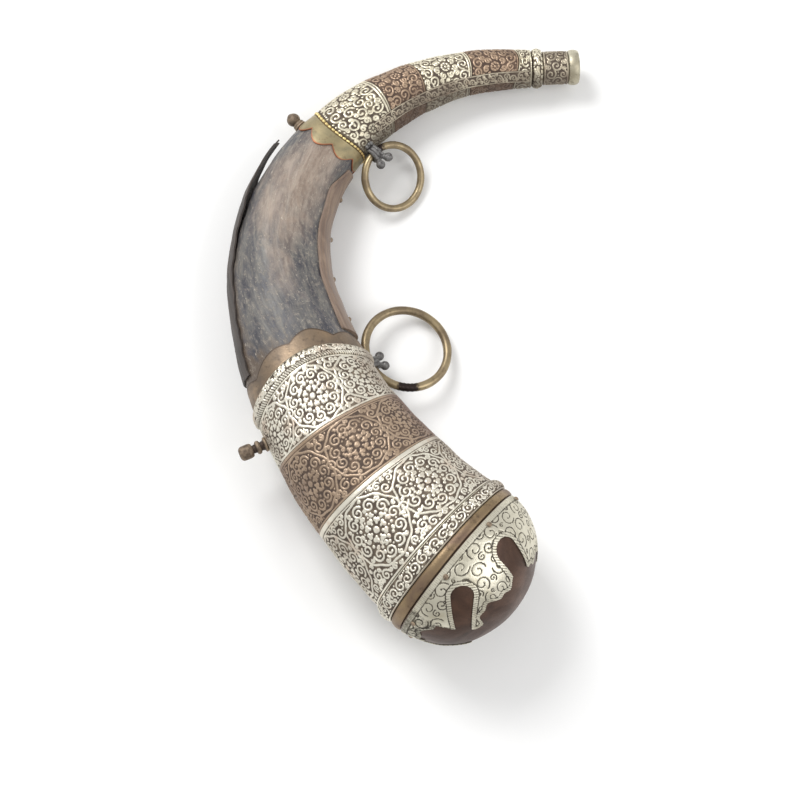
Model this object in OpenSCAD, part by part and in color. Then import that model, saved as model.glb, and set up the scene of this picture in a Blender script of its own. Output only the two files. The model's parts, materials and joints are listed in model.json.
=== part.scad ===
// Curved powder horn: two wooden halves closed by edge strips, chased metal sleeves,
// a domed base, a straight pouring spout and two loose carrying rings.
// The horn lies on its side on z = 0, with its inner bend towards +X. Millimetres.

/* [Bend] */
// Bend radius of each stretch of the centreline, from the dome seam to the spout
bend_radius = [307, 225, 106, 134]; // [100:1:320]
// Turn of each stretch in degrees
bend_angle = [15.4, 20.5, 51.5, 49.7]; // [14:0.1:54]
// Length of the straight spout stretch
straight_len = 40; // [40:0.5:50]
// Heading of the centreline at the dome seam, in degrees from +X
base_heading = 140.1; // [138:0.1:142]
// Tilt of the resting horn about X, in degrees
lie_x = -5.4; // [-6:0.1:-5]
// Tilt of the resting horn about Y, in degrees
lie_y = -0.6; // [-1:0.1:0]

/* [Section] */
// Half width of the horn at the dome seam
base_r = 43.4; // [42:0.1:44]
// Half width under the lower collar
collar_r = 33.4; // [32:0.1:34]
// Half width at the middle of the bare body
middle_r = 25.2; // [24:0.1:26]
// Half width under the upper collar
upper_r = 18.2; // [17.5:0.1:19]
// Half width in the middle of the neck
neck_r = 12; // [11.5:0.1:12.5]
// Radius of the spout tube
spout_r = 8; // [7.8:0.1:8.2]
// Depth of the body section as a share of its width
body_depth = 0.83; // [0.8:0.01:0.9]
// Wall of the wooden halves
wall = 5.5; // [4:0.5:6]
// Radius of the powder passage through the neck and spout
passage_r = 5; // [4:0.1:5.5]

/* [Lower sleeves] */
// Width of the plain brass band beside the dome
brass_band_w = 6; // [5:0.5:7]
// Width of the half-round silver bead
base_bead_w = 8.5; // [7:0.5:9]
// Width of the lower silver sleeve
silver_low_w = 41.5; // [38:0.5:43]
// Width of the copper sleeve
copper_low_w = 35; // [32:0.5:37]
// Width of the lower collar
collar_w = 6.8; // [5:0.1:8]
// Distance from the dome seam to the lower collar
collar_s = 114.8; // [113:0.1:116]
// Rise of the collar towards the spout on the broad faces
collar_arch = 10; // [0:0.5:12]
// Lean of the collar, higher on the inner edge
collar_lean = 2.5; // [0:0.5:3]
// Height of the scalloped ferrule above the collar
ferrule_h = 12; // [10:0.5:14]
// Height of the dome beyond its seam
dome_h = 37; // [32:0.5:40]

/* [Neck sleeves] */
// Distance from the dome seam to the upper beading
beading_s = 272; // [271:0.5:273]
// Sag of the beading towards the base on the broad faces
beading_sag = 5; // [0:0.5:6]
// Bow of the neck bands towards the spout on the broad faces
neck_bow = 3; // [0:0.5:4]
// Widths of the four chased neck sleeves, silver and copper in turn
neck_band_w = [26, 23.5, 28.5, 26]; // [22:0.5:29]

/* [Rings] */
// Pitch radius of the lower carrying ring
lower_ring_r = 22.3; // [20:0.1:24]
// Wire radius of the lower carrying ring
lower_wire_r = 2.25; // [2:0.05:2.3]
// Pitch radius of the upper carrying ring
upper_ring_r = 17; // [15:0.1:18]
// Wire radius of the upper carrying ring
upper_wire_r = 2; // [1.8:0.05:2.1]
// Radial clearance of a ring in its lug
ring_clearance = 0.5; // [0.4:0.05:0.6]

/* [Hidden] */

SILVER = [0.72, 0.69, 0.62];
COPPER = [0.52, 0.38, 0.29];
BRASS = [0.60, 0.50, 0.32];
WOOD = [0.33, 0.30, 0.29];
CAST = [0.45, 0.41, 0.37];

step = 10;                  // angular grid shared by all sheets round the horn
gap = 0.15;                 // clearance between layers
skin_t = 0.65;              // sheet metal thickness
foil_t = 0.5;               // thickness of the foils laid over the sheets
joint_gap = 0.2;            // space left between neighbouring bands
body_end_s = 283;           // where the wooden body meets the neck
exact_fn = 64;

// ---- Centreline -------------------------------------------------------------

function sum_to(v, n) = n <= 0 ? 0 : v[n - 1] + sum_to(v, n - 1);
function turn_xy(h, r, a) = r * [sin(h) - sin(h - a), cos(h - a) - cos(h)];
arc_len = [for (i = [0:3]) bend_radius[i] * bend_angle[i] * PI / 180];
knot_s = [for (i = [0:4]) sum_to(arc_len, i)];
knot_h = [for (i = [0:4]) base_heading - sum_to(bend_angle, i)];
knot_step = [for (i = [0:3]) turn_xy(knot_h[i], bend_radius[i], bend_angle[i])];
function knot_xy(i) = i == 0 ? [0, 0] : knot_xy(i - 1) + knot_step[i - 1];
tip_s = knot_s[4] + straight_len;

function stretch(s) = s < knot_s[1] ? 0 : s < knot_s[2] ? 1
    : s < knot_s[3] ? 2 : s < knot_s[4] ? 3 : 4;
function bend_at(s, i) = i == 4 ? 0 : (s - knot_s[i]) / bend_radius[i] * 180 / PI;
function heading(s) = let (i = stretch(s)) knot_h[i] - bend_at(s, i);
function centre(s) = let (i = stretch(s), d = s - knot_s[i])
    knot_xy(i) + (i == 4 ? d * [cos(knot_h[4]), sin(knot_h[4])]
                         : turn_xy(knot_h[i], bend_radius[i], bend_at(s, i)));

// ---- Section: an oval whose depth grows to a full circle at the spout --------

width_s = [0, 110, 190, 265, 340, tip_s];
width_r = [base_r, collar_r, middle_r, upper_r, neck_r, spout_r];
function slope(i) = let (a = max(i - 1, 0), b = min(i + 1, 5))
    (width_r[b] - width_r[a]) / (width_s[b] - width_s[a]);
function blend(u, a, b, ta, tb) = (2 * u ^ 3 - 3 * u ^ 2 + 1) * a + (u ^ 3 - 2 * u ^ 2 + u) * ta
    + (3 * u ^ 2 - 2 * u ^ 3) * b + (u ^ 3 - u ^ 2) * tb;
function width_span(s) = s < width_s[1] ? 0 : s < width_s[2] ? 1
    : s < width_s[3] ? 2 : s < width_s[4] ? 3 : 4;
function half_width(s) = let (i = width_span(s), d = width_s[i + 1] - width_s[i],
    u = min(1, max(0, (s - width_s[i]) / d)))
    blend(u, width_r[i], width_r[i + 1], d * slope(i), d * slope(i + 1));
function ease(x) = let (u = min(1, max(0, x))) u * u * (3 - 2 * u);
oval_until_s = 200;
round_from_s = 372;
function depth_ratio(s) = body_depth
    + (1 - body_depth) * ease((s - oval_until_s) / (round_from_s - oval_until_s));

// Point on the horn: s along it, th round it from the inner edge over the front, off outwards.
function skin(s, th, off) = let (c = centre(s), h = heading(s), a = half_width(s),
    r = (a + off) * cos(th)) [c.x + r * sin(h), c.y - r * cos(h), (a * depth_ratio(s) + off) * sin(th)];

// Point on the dome: lat is 0 at the seam and 90 at the crown.
function dome(lat, th, off) = let (c = centre(0), h = base_heading, d = (dome_h + off) * sin(lat),
    r = (base_r + off) * cos(lat) * cos(th))
    [c.x - d * cos(h) + r * sin(h), c.y - d * sin(h) - r * cos(h),
     (base_r * body_depth + off) * cos(lat) * sin(th)];

// ---- Closed sheets over a grid ----------------------------------------------

function two(a, b, c, d) = [[a, b, c], [a, c, d]];

// Sheet between top(u, v) and bottom(u, v). u runs along the horn and v round it.
// closed joins v = 1 to v = 0. poles = [top, bottom] closes the u = 0 end to a point.
module sheet(nu, nv, top, bottom, closed = false, poles = []) {
    cols = closed ? nv : nv + 1;
    layer = (nu + 1) * cols;
    id = function (f, i, j) f * layer + i * cols + (closed ? j % nv : j);
    points = [for (f = [top, bottom]) for (i = [0:nu]) for (j = [0:cols - 1]) f(i / nu, j / nv)];
    over = [for (i = [0:nu - 1]) for (j = [0:nv - 1]) each concat(
        two(id(0, i, j), id(0, i, j + 1), id(0, i + 1, j + 1), id(0, i + 1, j)),
        two(id(1, i, j), id(1, i + 1, j), id(1, i + 1, j + 1), id(1, i, j + 1)))];
    far = [for (j = [0:nv - 1]) each
        two(id(0, nu, j + 1), id(1, nu, j + 1), id(1, nu, j), id(0, nu, j))];
    near = len(poles) == 0
        ? [for (j = [0:nv - 1]) each two(id(0, 0, j), id(1, 0, j), id(1, 0, j + 1), id(0, 0, j + 1))]
        : [for (j = [0:nv - 1]) each [[2 * layer, id(0, 0, j + 1), id(0, 0, j)],
                                      [2 * layer + 1, id(1, 0, j), id(1, 0, j + 1)]]];
    sides = closed ? [] : [for (i = [0:nu - 1]) each concat(
        two(id(0, i + 1, 0), id(1, i + 1, 0), id(1, i, 0), id(0, i, 0)),
        two(id(0, i, nv), id(1, i, nv), id(1, i + 1, nv), id(0, i + 1, nv)))];
    polyhedron(concat(points, poles), concat(over, far, near, sides), convexity = 6);
}

// Band round the horn from s0 to s1. lift(u) adds height, from_shift and to_shift bend its two edges.
module band(s0, s1, nu, lift = function (u) 0, from_shift = function (th) 0,
            to_shift = function (th) 0, turns = 360 / step) {
    s_at = function (u, th) (s0 + from_shift(th)) * (1 - u) + (s1 + to_shift(th)) * u;
    sheet(nu, turns, function (u, v) skin(s_at(u, 360 * v), 360 * v, gap + skin_t + lift(u)),
        function (u, v) skin(s_at(u, 360 * v), 360 * v, gap), closed = true);
}

function round_top(u, height) = height * sqrt(max(0, 1 - (2 * u - 1) ^ 2));
function scallop(th, count, depth) = -depth * abs(sin(th * count / 2));

// ---- Where the horn lies -------------------------------------------------------

function shift_collar(th) = collar_lean * cos(th) + collar_arch * sin(th) ^ 2;
function shift_beading(th) = -beading_sag * sin(th) ^ 2;
function shift_neck(th) = neck_bow * sin(th) ^ 2;

bead_h = 1.9;
collar_h = 1.4;
brass_h = 1.1;
tip_bead_h = 2.6;
tip_rim_h = 1.6;
strip_t = 0.9;
strip_lift = 4.5;
lift_from_s = 170;
outer_strip_end_s = 256;
function strip_rise(s) = gap + strip_lift * ease((s - lift_from_s) / (outer_strip_end_s - lift_from_s));
silver_low_s = brass_band_w + base_bead_w;
copper_low_s = silver_low_s + silver_low_w;
collar_sleeve_s = copper_low_s + copper_low_w;

function lay(p) = let (y = p.y * cos(lie_x) - p.z * sin(lie_x),
    z = p.y * sin(lie_x) + p.z * cos(lie_x))
    [p.x * cos(lie_y) + z * sin(lie_y), y, -p.x * sin(lie_y) + z * cos(lie_y)];
tip_ring_w = 6;             // width of the spout's bead and of its rim
tip_bead_s = tip_s - 26;
tip_sleeve_s = tip_bead_s + tip_ring_w + joint_gap;
tip_rim_s = tip_s - tip_ring_w;
neck_end_s = tip_bead_s - 1;

// Points that show how far the horn reaches once it lies down, so that it can be set on z = 0.
function on_bead(s) = s > tip_bead_s && s < tip_bead_s + tip_ring_w;
function outer_off(s) = gap + skin_t + (s < brass_band_w ? brass_h : s < silver_low_s ? bead_h
    : on_bead(s) ? tip_bead_h : s > tip_rim_s ? tip_rim_h : 0);
edge_points = [for (s = [0:4:tip_s]) for (th = [0:step:350]) lay(skin(s, th, outer_off(s)))];
overlay_off = skin_t + 2 * gap + foil_t;
dome_points = [for (lat = [0:6:90]) for (th = [0:step:350]) lay(dome(lat, th, overlay_off))];
strip_points = [for (s = [150:4:outer_strip_end_s]) lay(skin(s, 180, strip_rise(s) + strip_t))];
outline = concat(edge_points, dome_points, strip_points);
low = [for (k = [0:2]) min([for (p = outline) p[k]])];
high = [for (k = [0:2]) max([for (p = outline) p[k]])];
placed = [-(low.x + high.x) / 2, -(low.y + high.y) / 2, -low.z];

module placed() {
    translate(placed) rotate([0, lie_y, 0]) rotate([lie_x, 0, 0]) children();
}

// Stands children on the horn: their +X points out of it and their +Y runs towards the spout.
slope_step = 2;
function normal_angle(s, th) = atan2(sin(th) / depth_ratio(s), cos(th));
function taper(s) = atan((half_width(s - slope_step) - half_width(s + slope_step)) / (2 * slope_step));
module on_horn(s, th, off) {
    translate(skin(s, th, off)) rotate([0, 0, heading(s) - 90]) rotate([0, -normal_angle(s, th), 0])
        rotate([0, 0, taper(s) * abs(cos(th))]) children();
}

// Stands children on the spout axis at distance s, with their +Z towards the mouth.
module on_spout(s) {
    c = centre(s);
    translate([c.x, c.y, 0]) rotate([0, 0, heading(s)]) rotate([0, 90, 0]) children();
}

// ---- Wooden core -------------------------------------------------------------

cavity_narrows_s = 228;
function bore_point(s, th) = let (c = centre(s), h = heading(s), r = passage_r * cos(th))
    [c.x + r * sin(h), c.y - r * cos(h), passage_r * sin(th)];
function narrowing(s) = ease((s - cavity_narrows_s) / (body_end_s - cavity_narrows_s));
function cavity(s, th) = (1 - narrowing(s)) * skin(s, th, -wall) + narrowing(s) * bore_point(s, th);

plug_depth = 9;
seat_s = 0.3;

// Half of the hollow body. from is the angle of its first seam.
module body_half(from) {
    s_at = function (u) seat_s + (body_end_s - seat_s) * u;
    color(WOOD) placed() sheet(28, 180 / step,
        function (u, v) skin(s_at(u), from + 180 * v, 0),
        function (u, v) cavity(s_at(u), from + 180 * v));
}

module body_half_front() body_half(0);
module body_half_back() body_half(180);

// Half of the hollow neck. from is the angle of its first seam.
module neck_half(from) {
    s_at = function (u) body_end_s + (neck_end_s - body_end_s) * u;
    color(WOOD) placed() sheet(10, 180 / step,
        function (u, v) skin(s_at(u), from + 180 * v, 0),
        function (u, v) bore_point(s_at(u), from + 180 * v));
}

module neck_half_front() neck_half(0);
module neck_half_back() neck_half(180);

plug_inset = wall + gap;
plug_face_s = 0.1;
crown_lat = 84;             // last ring of a dome before its crown point

function axis_point(s) = [centre(s).x, centre(s).y, 0];
// Point of a flat disc across the horn at s. share runs from the axis to off outside the wood.
function disc_point(s, th, share, off) = axis_point(s) * (1 - share) + skin(s, th, off) * share;

module base_plug() {
    share_at = function (u) (1 + u) / 2;
    color(WOOD) placed() {
        sheet(8, 360 / step, function (u, v) dome(crown_lat * (1 - u), 360 * v, 0),
            function (u, v) disc_point(plug_face_s, 360 * v, cos(crown_lat * (1 - u)), 0),
            closed = true, poles = [dome(90, 0, 0), axis_point(plug_face_s)]);
        sheet(1, 360 / step, function (u, v) disc_point(-1, 360 * v, share_at(u), -plug_inset),
            function (u, v) disc_point(plug_depth, 360 * v, share_at(u), -plug_inset),
            closed = true, poles = [axis_point(-1), axis_point(plug_depth)]);
    }
}

// ---- Edge strips ---------------------------------------------------------------

inner_strip_half = 40;
inner_strip_bulge = 1;
strip_clear = 0.9;          // space between a strip's ends and the ferrules
module inner_edge_strip() {
    s0 = collar_s + collar_w + ferrule_h + strip_clear;
    s1 = beading_s - ferrule_h - strip_clear;
    th_at = function (v) inner_strip_half * (2 * v - 1);
    s_at = function (u, th) (s0 + shift_collar(th)) * (1 - u) + (s1 + shift_beading(th)) * u;
    color(COPPER) placed() sheet(14, 8,
        function (u, v) skin(s_at(u, th_at(v)), th_at(v), gap + strip_t + round_top(v, inner_strip_bulge)),
        function (u, v) skin(s_at(u, th_at(v)), th_at(v), gap));
}

outer_strip_half = 30;
strip_tip_len = 30;
strip_tip_share = 0.3;      // width of the strip's end as a share of its full width
module outer_edge_strip() {
    s0 = collar_s + collar_w + ferrule_h + 3 * strip_clear - collar_lean;
    s_at = function (u) s0 + (outer_strip_end_s - s0) * u;
    half_at = function (u) outer_strip_half * (1 - (1 - strip_tip_share)
        * ease(1 - (outer_strip_end_s - s_at(u)) / strip_tip_len));
    th_at = function (u, v) 180 + half_at(u) * (2 * v - 1);
    color(WOOD) placed() sheet(16, 6,
        function (u, v) skin(s_at(u), th_at(u, v), strip_rise(s_at(u)) + strip_t),
        function (u, v) skin(s_at(u), th_at(u, v), strip_rise(s_at(u))));
}

// ---- Dome ----------------------------------------------------------------------

module dome_cap() {
    color(COPPER) placed() sheet(9, 360 / step,
        function (u, v) dome(crown_lat * (1 - u), 360 * v, gap + skin_t),
        function (u, v) dome(crown_lat * (1 - u), 360 * v, gap), closed = true,
        poles = [dome(90, 0, gap + skin_t), dome(90, 0, gap)]);
}

overlay_start_lat = 3;
overlay_edge_lat = 44;
overlay_lobe_lat = 10;
overlay_lobes = 6;
module dome_overlay() {
    edge_at = function (th) overlay_edge_lat + overlay_lobe_lat * cos(th * overlay_lobes);
    lat_at = function (u, th) overlay_start_lat * u + edge_at(th) * (1 - u);
    color(SILVER) placed() sheet(8, 2 * 360 / step,
        function (u, v) dome(lat_at(u, 360 * v), 360 * v, overlay_off),
        function (u, v) dome(lat_at(u, 360 * v), 360 * v, overlay_off - foil_t), closed = true);
}

// ---- Bands, sleeves and beads ----------------------------------------------------

module base_brass_band()
    color(BRASS) placed() band(seat_s, brass_band_w - joint_gap, 5, function (u) round_top(u, brass_h));

module base_bead()
    color(SILVER) placed() band(brass_band_w, silver_low_s - joint_gap, 6, function (u) round_top(u, bead_h));

module lower_sleeve_silver()
    color(SILVER) placed() band(silver_low_s, copper_low_s - joint_gap, 4);

module lower_sleeve_copper()
    color(COPPER) placed() band(copper_low_s, collar_sleeve_s - joint_gap, 4);

module collar_sleeve_silver()
    color(SILVER) placed() band(collar_sleeve_s, collar_s - joint_gap, 3, to_shift = function (th) shift_collar(th));

module lower_collar()
    color(SILVER) placed() band(collar_s, collar_s + collar_w, 6, function (u) round_top(u, collar_h),
        function (th) shift_collar(th), function (th) shift_collar(th));

lower_scallops = 8;
lower_scallop_depth = 5;
upper_scallops = 8;
upper_scallop_depth = 4;
scallop_turns = 72;
module lower_ferrule() {
    s0 = collar_s + collar_w + joint_gap;
    color(BRASS) placed() band(s0, s0 + ferrule_h, 2, from_shift = function (th) shift_collar(th),
        to_shift = function (th) shift_collar(th) + scallop(th, lower_scallops, lower_scallop_depth),
        turns = scallop_turns);
}

beading_w = 2;
beading_h = 0.6;
module upper_ferrule() {
    s1 = beading_s - joint_gap;
    color(BRASS) placed() band(s1 - ferrule_h, s1, 2,
        from_shift = function (th) shift_beading(th)
            - scallop(th + 180 / upper_scallops, upper_scallops, upper_scallop_depth),
        to_shift = function (th) shift_beading(th), turns = scallop_turns);
}

module upper_beading()
    color(BRASS) placed() band(beading_s, beading_s + beading_w, 3, function (u) round_top(u, beading_h),
        function (th) shift_beading(th), function (th) shift_beading(th));

// Sleeve number i on the neck. The first starts at the beading.
module neck_sleeve(i) {
    start = beading_s + beading_w + joint_gap;
    s0 = start + sum_to(neck_band_w, i);
    placed() band(s0, s0 + neck_band_w[i] - joint_gap, 3,
        from_shift = function (th) i == 0 ? shift_beading(th) : shift_neck(th),
        to_shift = function (th) shift_neck(th));
}

module neck_sleeve_silver_1() color(SILVER) neck_sleeve(0);
module neck_sleeve_copper_1() color(COPPER) neck_sleeve(1);
module neck_sleeve_silver_2() color(SILVER) neck_sleeve(2);
module neck_sleeve_copper_2() color(COPPER) neck_sleeve(3);
module neck_sleeve_silver_3() {
    s0 = beading_s + beading_w + joint_gap + sum_to(neck_band_w, 4);
    color(SILVER) placed() band(s0, neck_end_s + 1 - 2 * joint_gap, 2, from_shift = function (th) shift_neck(th));
}

seam_strip_th = 41;
seam_strip_half_w = 3;
seam_strip_from = 16;       // distance from the beading to the start of the seam strip
module neck_seam_strip() {
    s0 = beading_s + seam_strip_from;
    s_at = function (u) s0 + (neck_end_s - 1 - s0) * u;
    half_at = function (u) seam_strip_half_w / half_width(s_at(u)) * 180 / PI;
    th_at = function (u, v) seam_strip_th + half_at(u) * (2 * v - 1);
    color(SILVER) placed() sheet(10, 2,
        function (u, v) skin(s_at(u), th_at(u, v), overlay_off),
        function (u, v) skin(s_at(u), th_at(u, v), overlay_off - foil_t));
}

// ---- Spout ----------------------------------------------------------------------

module tube(r_in, r_out, len) {
    rotate_extrude($fn = exact_fn) translate([r_in, 0]) square([r_out - r_in, len]);
}

// Ring round the spout tube with a half-round outside.
module spout_ring(s, width, r_out) {
    r_in = spout_r + gap;
    bulge = width / 2;
    placed() on_spout(s) rotate_extrude($fn = exact_fn) intersection() {
        translate([r_in, 0]) square([r_out - r_in, width]);
        union() {
            translate([r_in, 0]) square([r_out - r_in - bulge + 0.01, width]);
            translate([r_out - bulge, width / 2]) circle(bulge, $fn = exact_fn);
        }
    }
}

module spout_tube()
    color(BRASS) placed() on_spout(neck_end_s) tube(passage_r, spout_r, tip_s - neck_end_s);

module spout_bead()
    color(SILVER) spout_ring(tip_bead_s, tip_ring_w, spout_r + tip_bead_h);

module spout_sleeve()
    color(SILVER) placed() on_spout(tip_sleeve_s)
        tube(spout_r + gap, spout_r + gap + skin_t, tip_rim_s - joint_gap - tip_sleeve_s);

module spout_rim()
    color(SILVER) spout_ring(tip_rim_s, tip_ring_w, spout_r + tip_rim_h);

// ---- Knobs -----------------------------------------------------------------------

// Turned knob: a foot, a neck with a ring, and a round head, along +X from the horn's surface.
module knob(len, head_r) {
    foot_h = 1.6;
    stem_r = head_r * 0.62;
    stem_len = len - 1.7 * head_r;
    rotate([0, 90, 0]) rotate_extrude($fn = exact_fn) intersection() {
        square([head_r * 2, len]);
        union() {
            square([head_r, foot_h]);
            square([stem_r, stem_len + head_r]);
            translate([stem_r, stem_len * 0.55]) circle(head_r * 0.3, $fn = 24);
            translate([0, len - head_r]) circle(head_r, $fn = exact_fn);
        }
    }
}

lower_knob_s = 104;
upper_knob_s = 264;
seat_gap = 0.1;
knob_sit = gap + skin_t + seat_gap;
module lower_knob()
    color(CAST) placed() on_horn(lower_knob_s, 180, knob_sit) knob(15, 3.9);

module upper_knob()
    color(CAST) placed() on_horn(upper_knob_s, 180, knob_sit) knob(9.5, 3.6);

// ---- Lugs and rings ----------------------------------------------------------------

// Each lug: place along and round the horn, height of the eye above the wood, height of the foot.
lower_lug_at = [collar_s + collar_w / 2 + collar_lean + 1.3, -22];
lower_eye_off = gap + skin_t + collar_h + 3.05;
lower_foot_off = gap + skin_t + collar_h + seat_gap;
upper_lug_at = [beading_s + 7, 8];
upper_eye_off = gap + skin_t + 2.9;
upper_foot_off = gap + skin_t + seat_gap;
// Angle of each ring at rest, raised above the direction straight out of its lug.
lower_ring_rest = 14;
upper_ring_rest = -43;
lug_wall = 1.3;
lug_len = 4.6;
tip_side = 1.1;
tip_spread = 24;
tip_len = 4.6;
tip_ball_r = 2.2;
tip_stem_r = 1.1;

// Stem with a ball on its end, along Z.
module lug_tip() {
    rotate_extrude($fn = exact_fn) intersection() {
        square([tip_ball_r, tip_len + tip_ball_r]);
        union() {
            square([tip_stem_r, tip_len]);
            translate([0, tip_len]) circle(tip_ball_r, $fn = exact_fn);
        }
    }
}

// Cast lug with its eye along Y at the origin and its foot drop below the eye.
module lug(eye_r, drop, seat_r) {
    boss_r = eye_r + lug_wall;
    web_half = boss_r - 0.7;
    web_len = lug_len - 0.5;
    foot_half = boss_r + 3.4;
    difference() {
        union() {
            translate([0, lug_len / 2, 0]) rotate([90, 0, 0]) cylinder(lug_len, r = boss_r, $fn = exact_fn);
            translate([-drop - 1, -web_len / 2, -web_half]) cube([drop + 1, web_len, 2 * web_half]);
            translate([-drop - 1.5, -web_len / 2, -foot_half]) cube([3, web_len, 2 * foot_half]);
            for (side = [-1, 1]) translate([boss_r - 0.8, side * tip_side, 0])
                rotate([0, 0, side * tip_spread]) rotate([0, 90, 0]) lug_tip();
        }
        translate([0, lug_len, 0]) rotate([90, 0, 0]) cylinder(2 * lug_len, r = eye_r, $fn = exact_fn);
        translate([-drop - seat_r, lug_len, 0]) rotate([90, 0, 0])
            cylinder(2 * lug_len, r = seat_r, $fn = exact_fn);
    }
}

// Curvature radius of the section where a lug sits.
function seat_radius(s, off) = half_width(s) * depth_ratio(s) ^ 2 + off;

module lower_lug() {
    s = lower_lug_at[0];
    color(CAST) placed() on_horn(s, lower_lug_at[1], lower_eye_off)
        lug(lower_wire_r + ring_clearance, lower_eye_off - lower_foot_off, seat_radius(s, lower_foot_off));
}

module upper_lug() {
    s = upper_lug_at[0];
    color(CAST) placed() on_horn(s, upper_lug_at[1], upper_eye_off)
        lug(upper_wire_r + ring_clearance, upper_eye_off - upper_foot_off, seat_radius(s, upper_foot_off));
}

// Ring through the origin, in the plane of Y and its own middle, raised by angle.
module ring(pitch_r, wire_r, angle) {
    rotate([0, -angle, 0]) translate([pitch_r, 0, 0])
        rotate_extrude($fn = exact_fn) translate([pitch_r, 0]) circle(wire_r, $fn = 32);
}

module lower_ring()
    color(BRASS) placed() on_horn(lower_lug_at[0], lower_lug_at[1], lower_eye_off)
        ring(lower_ring_r, lower_wire_r, lower_ring_rest);

module upper_ring()
    color(BRASS) placed() on_horn(upper_lug_at[0], upper_lug_at[1], upper_eye_off)
        ring(upper_ring_r, upper_wire_r, upper_ring_rest);

// ---- Nails -------------------------------------------------------------------------

nail_r = 1.3;
nail_rim_h = 0.4;
module nail_head() rotate([0, 90, 0]) {
    cylinder(nail_rim_h, r = nail_r, $fn = 24);
    translate([0, 0, nail_rim_h]) cylinder(0.5, r1 = nail_r, r2 = nail_r * 0.5, $fn = 24);
}

nail_gap = 0.2;
strip_nail_off = gap + strip_t + inner_strip_bulge + nail_gap;
module strip_nails()
    color(BRASS) placed() for (s = [150:30:240]) on_horn(s, 0, strip_nail_off) nail_head();

dome_nail_count = 8;
dome_nail_s = -4;
module dome_nails()
    color(BRASS) placed() for (i = [0:dome_nail_count - 1])
        on_horn(dome_nail_s, (i + 0.5) * 360 / dome_nail_count, overlay_off + nail_gap) nail_head();

body_half_front();
body_half_back();
neck_half_front();
neck_half_back();
inner_edge_strip();
outer_edge_strip();
base_plug();
dome_cap();
dome_overlay();
base_brass_band();
base_bead();
lower_sleeve_silver();
lower_sleeve_copper();
collar_sleeve_silver();
lower_collar();
lower_ferrule();
upper_ferrule();
upper_beading();
neck_sleeve_silver_1();
neck_sleeve_copper_1();
neck_sleeve_silver_2();
neck_sleeve_copper_2();
neck_sleeve_silver_3();
neck_seam_strip();
spout_tube();
spout_bead();
spout_sleeve();
spout_rim();
lower_knob();
upper_knob();
lower_lug();
upper_lug();
lower_ring();
upper_ring();
strip_nails();
dome_nails();
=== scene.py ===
"""Powder horn: the looks, built in millimetres on the horn's own surface and laid on the frame."""
import json
import math
import bpy
import numpy as np
from mathutils import Matrix, Vector


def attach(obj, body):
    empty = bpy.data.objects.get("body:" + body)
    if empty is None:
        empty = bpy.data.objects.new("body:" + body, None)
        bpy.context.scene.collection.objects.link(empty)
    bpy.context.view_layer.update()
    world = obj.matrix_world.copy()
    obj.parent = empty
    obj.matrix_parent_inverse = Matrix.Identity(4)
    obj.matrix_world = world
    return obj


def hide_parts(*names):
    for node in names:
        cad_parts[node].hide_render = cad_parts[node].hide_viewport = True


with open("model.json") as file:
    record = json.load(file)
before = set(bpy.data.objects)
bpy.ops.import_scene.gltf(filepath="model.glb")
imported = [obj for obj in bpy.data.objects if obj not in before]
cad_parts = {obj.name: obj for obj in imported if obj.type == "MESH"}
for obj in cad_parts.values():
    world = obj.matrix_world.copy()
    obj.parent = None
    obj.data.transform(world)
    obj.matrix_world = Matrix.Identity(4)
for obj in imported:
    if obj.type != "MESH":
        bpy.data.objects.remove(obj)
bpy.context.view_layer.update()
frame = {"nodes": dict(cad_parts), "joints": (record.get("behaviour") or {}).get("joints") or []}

MM = 0.001
FINE = 0.36      # grid of the chased sheets
PLAIN = 0.9      # grid of the plain sheets
DOTS = 7                           # samples of a relief tile to the millimetre


# ---- The horn's surface ----

BEND_R = np.array([307.0, 225.0, 106.0, 134.0])
BEND_A = np.radians([15.4, 20.5, 51.5, 49.7])
HEADING = math.radians(140.1)      # of the spine at the dome's seam
STRAIGHT_LEN = 40.0                # of the stretch after the bends
STRAIGHT_R = 1e7                   # a bend this wide stands for a straight stretch
DOME_H = 37.0
BODY_DEPTH = 0.83                  # depth of the body to its width


def turn(heading, radius, angle):
    """Step of a bend that turns clockwise by angle."""
    return np.stack([radius * (np.sin(heading) - np.sin(heading - angle)),
                     radius * (np.cos(heading - angle) - np.cos(heading))], -1)


KNOT_S = np.concatenate([[0.0], np.cumsum(BEND_R * BEND_A)])
KNOT_H = HEADING - np.concatenate([[0.0], np.cumsum(BEND_A)])
KNOT_XY = np.concatenate([[[0.0, 0.0]], np.cumsum(turn(KNOT_H[:4], BEND_R, BEND_A), axis=0)])
TIP_S = KNOT_S[4] + STRAIGHT_LEN
NECK_END_S = TIP_S - 27            # where the neck's sleeves meet the spout

WIDTH_S = np.array([0, 110, 190, 265, 340, TIP_S])
WIDTH_R = np.array([43.4, 33.4, 25.2, 18.2, 12.0, 8.0])
BEFORE = np.maximum(np.arange(6) - 1, 0)
AFTER = np.minimum(np.arange(6) + 1, 5)
WIDTH_SLOPE = (WIDTH_R[AFTER] - WIDTH_R[BEFORE]) / (WIDTH_S[AFTER] - WIDTH_S[BEFORE])


def grid_of(down, across):
    """Two grids of values, with rows for the first list and columns for the second."""
    return np.meshgrid(down, across, indexing="ij")


def ease(x):
    """Smooth step from 0 to 1 as x goes from 0 to 1."""
    u = np.clip(x, 0, 1)
    return u * u * (3 - 2 * u)


def spine(s):
    """Centre and heading of the horn at s millimetres from the dome's seam."""
    s = np.asarray(s, float)
    i = np.clip(np.searchsorted(KNOT_S, s, side="right") - 1, 0, 4)
    r = np.append(BEND_R, STRAIGHT_R)[i]
    a = (s - KNOT_S[i]) / r
    return KNOT_XY[i] + turn(KNOT_H[i], r, a), KNOT_H[i] - a


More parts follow.
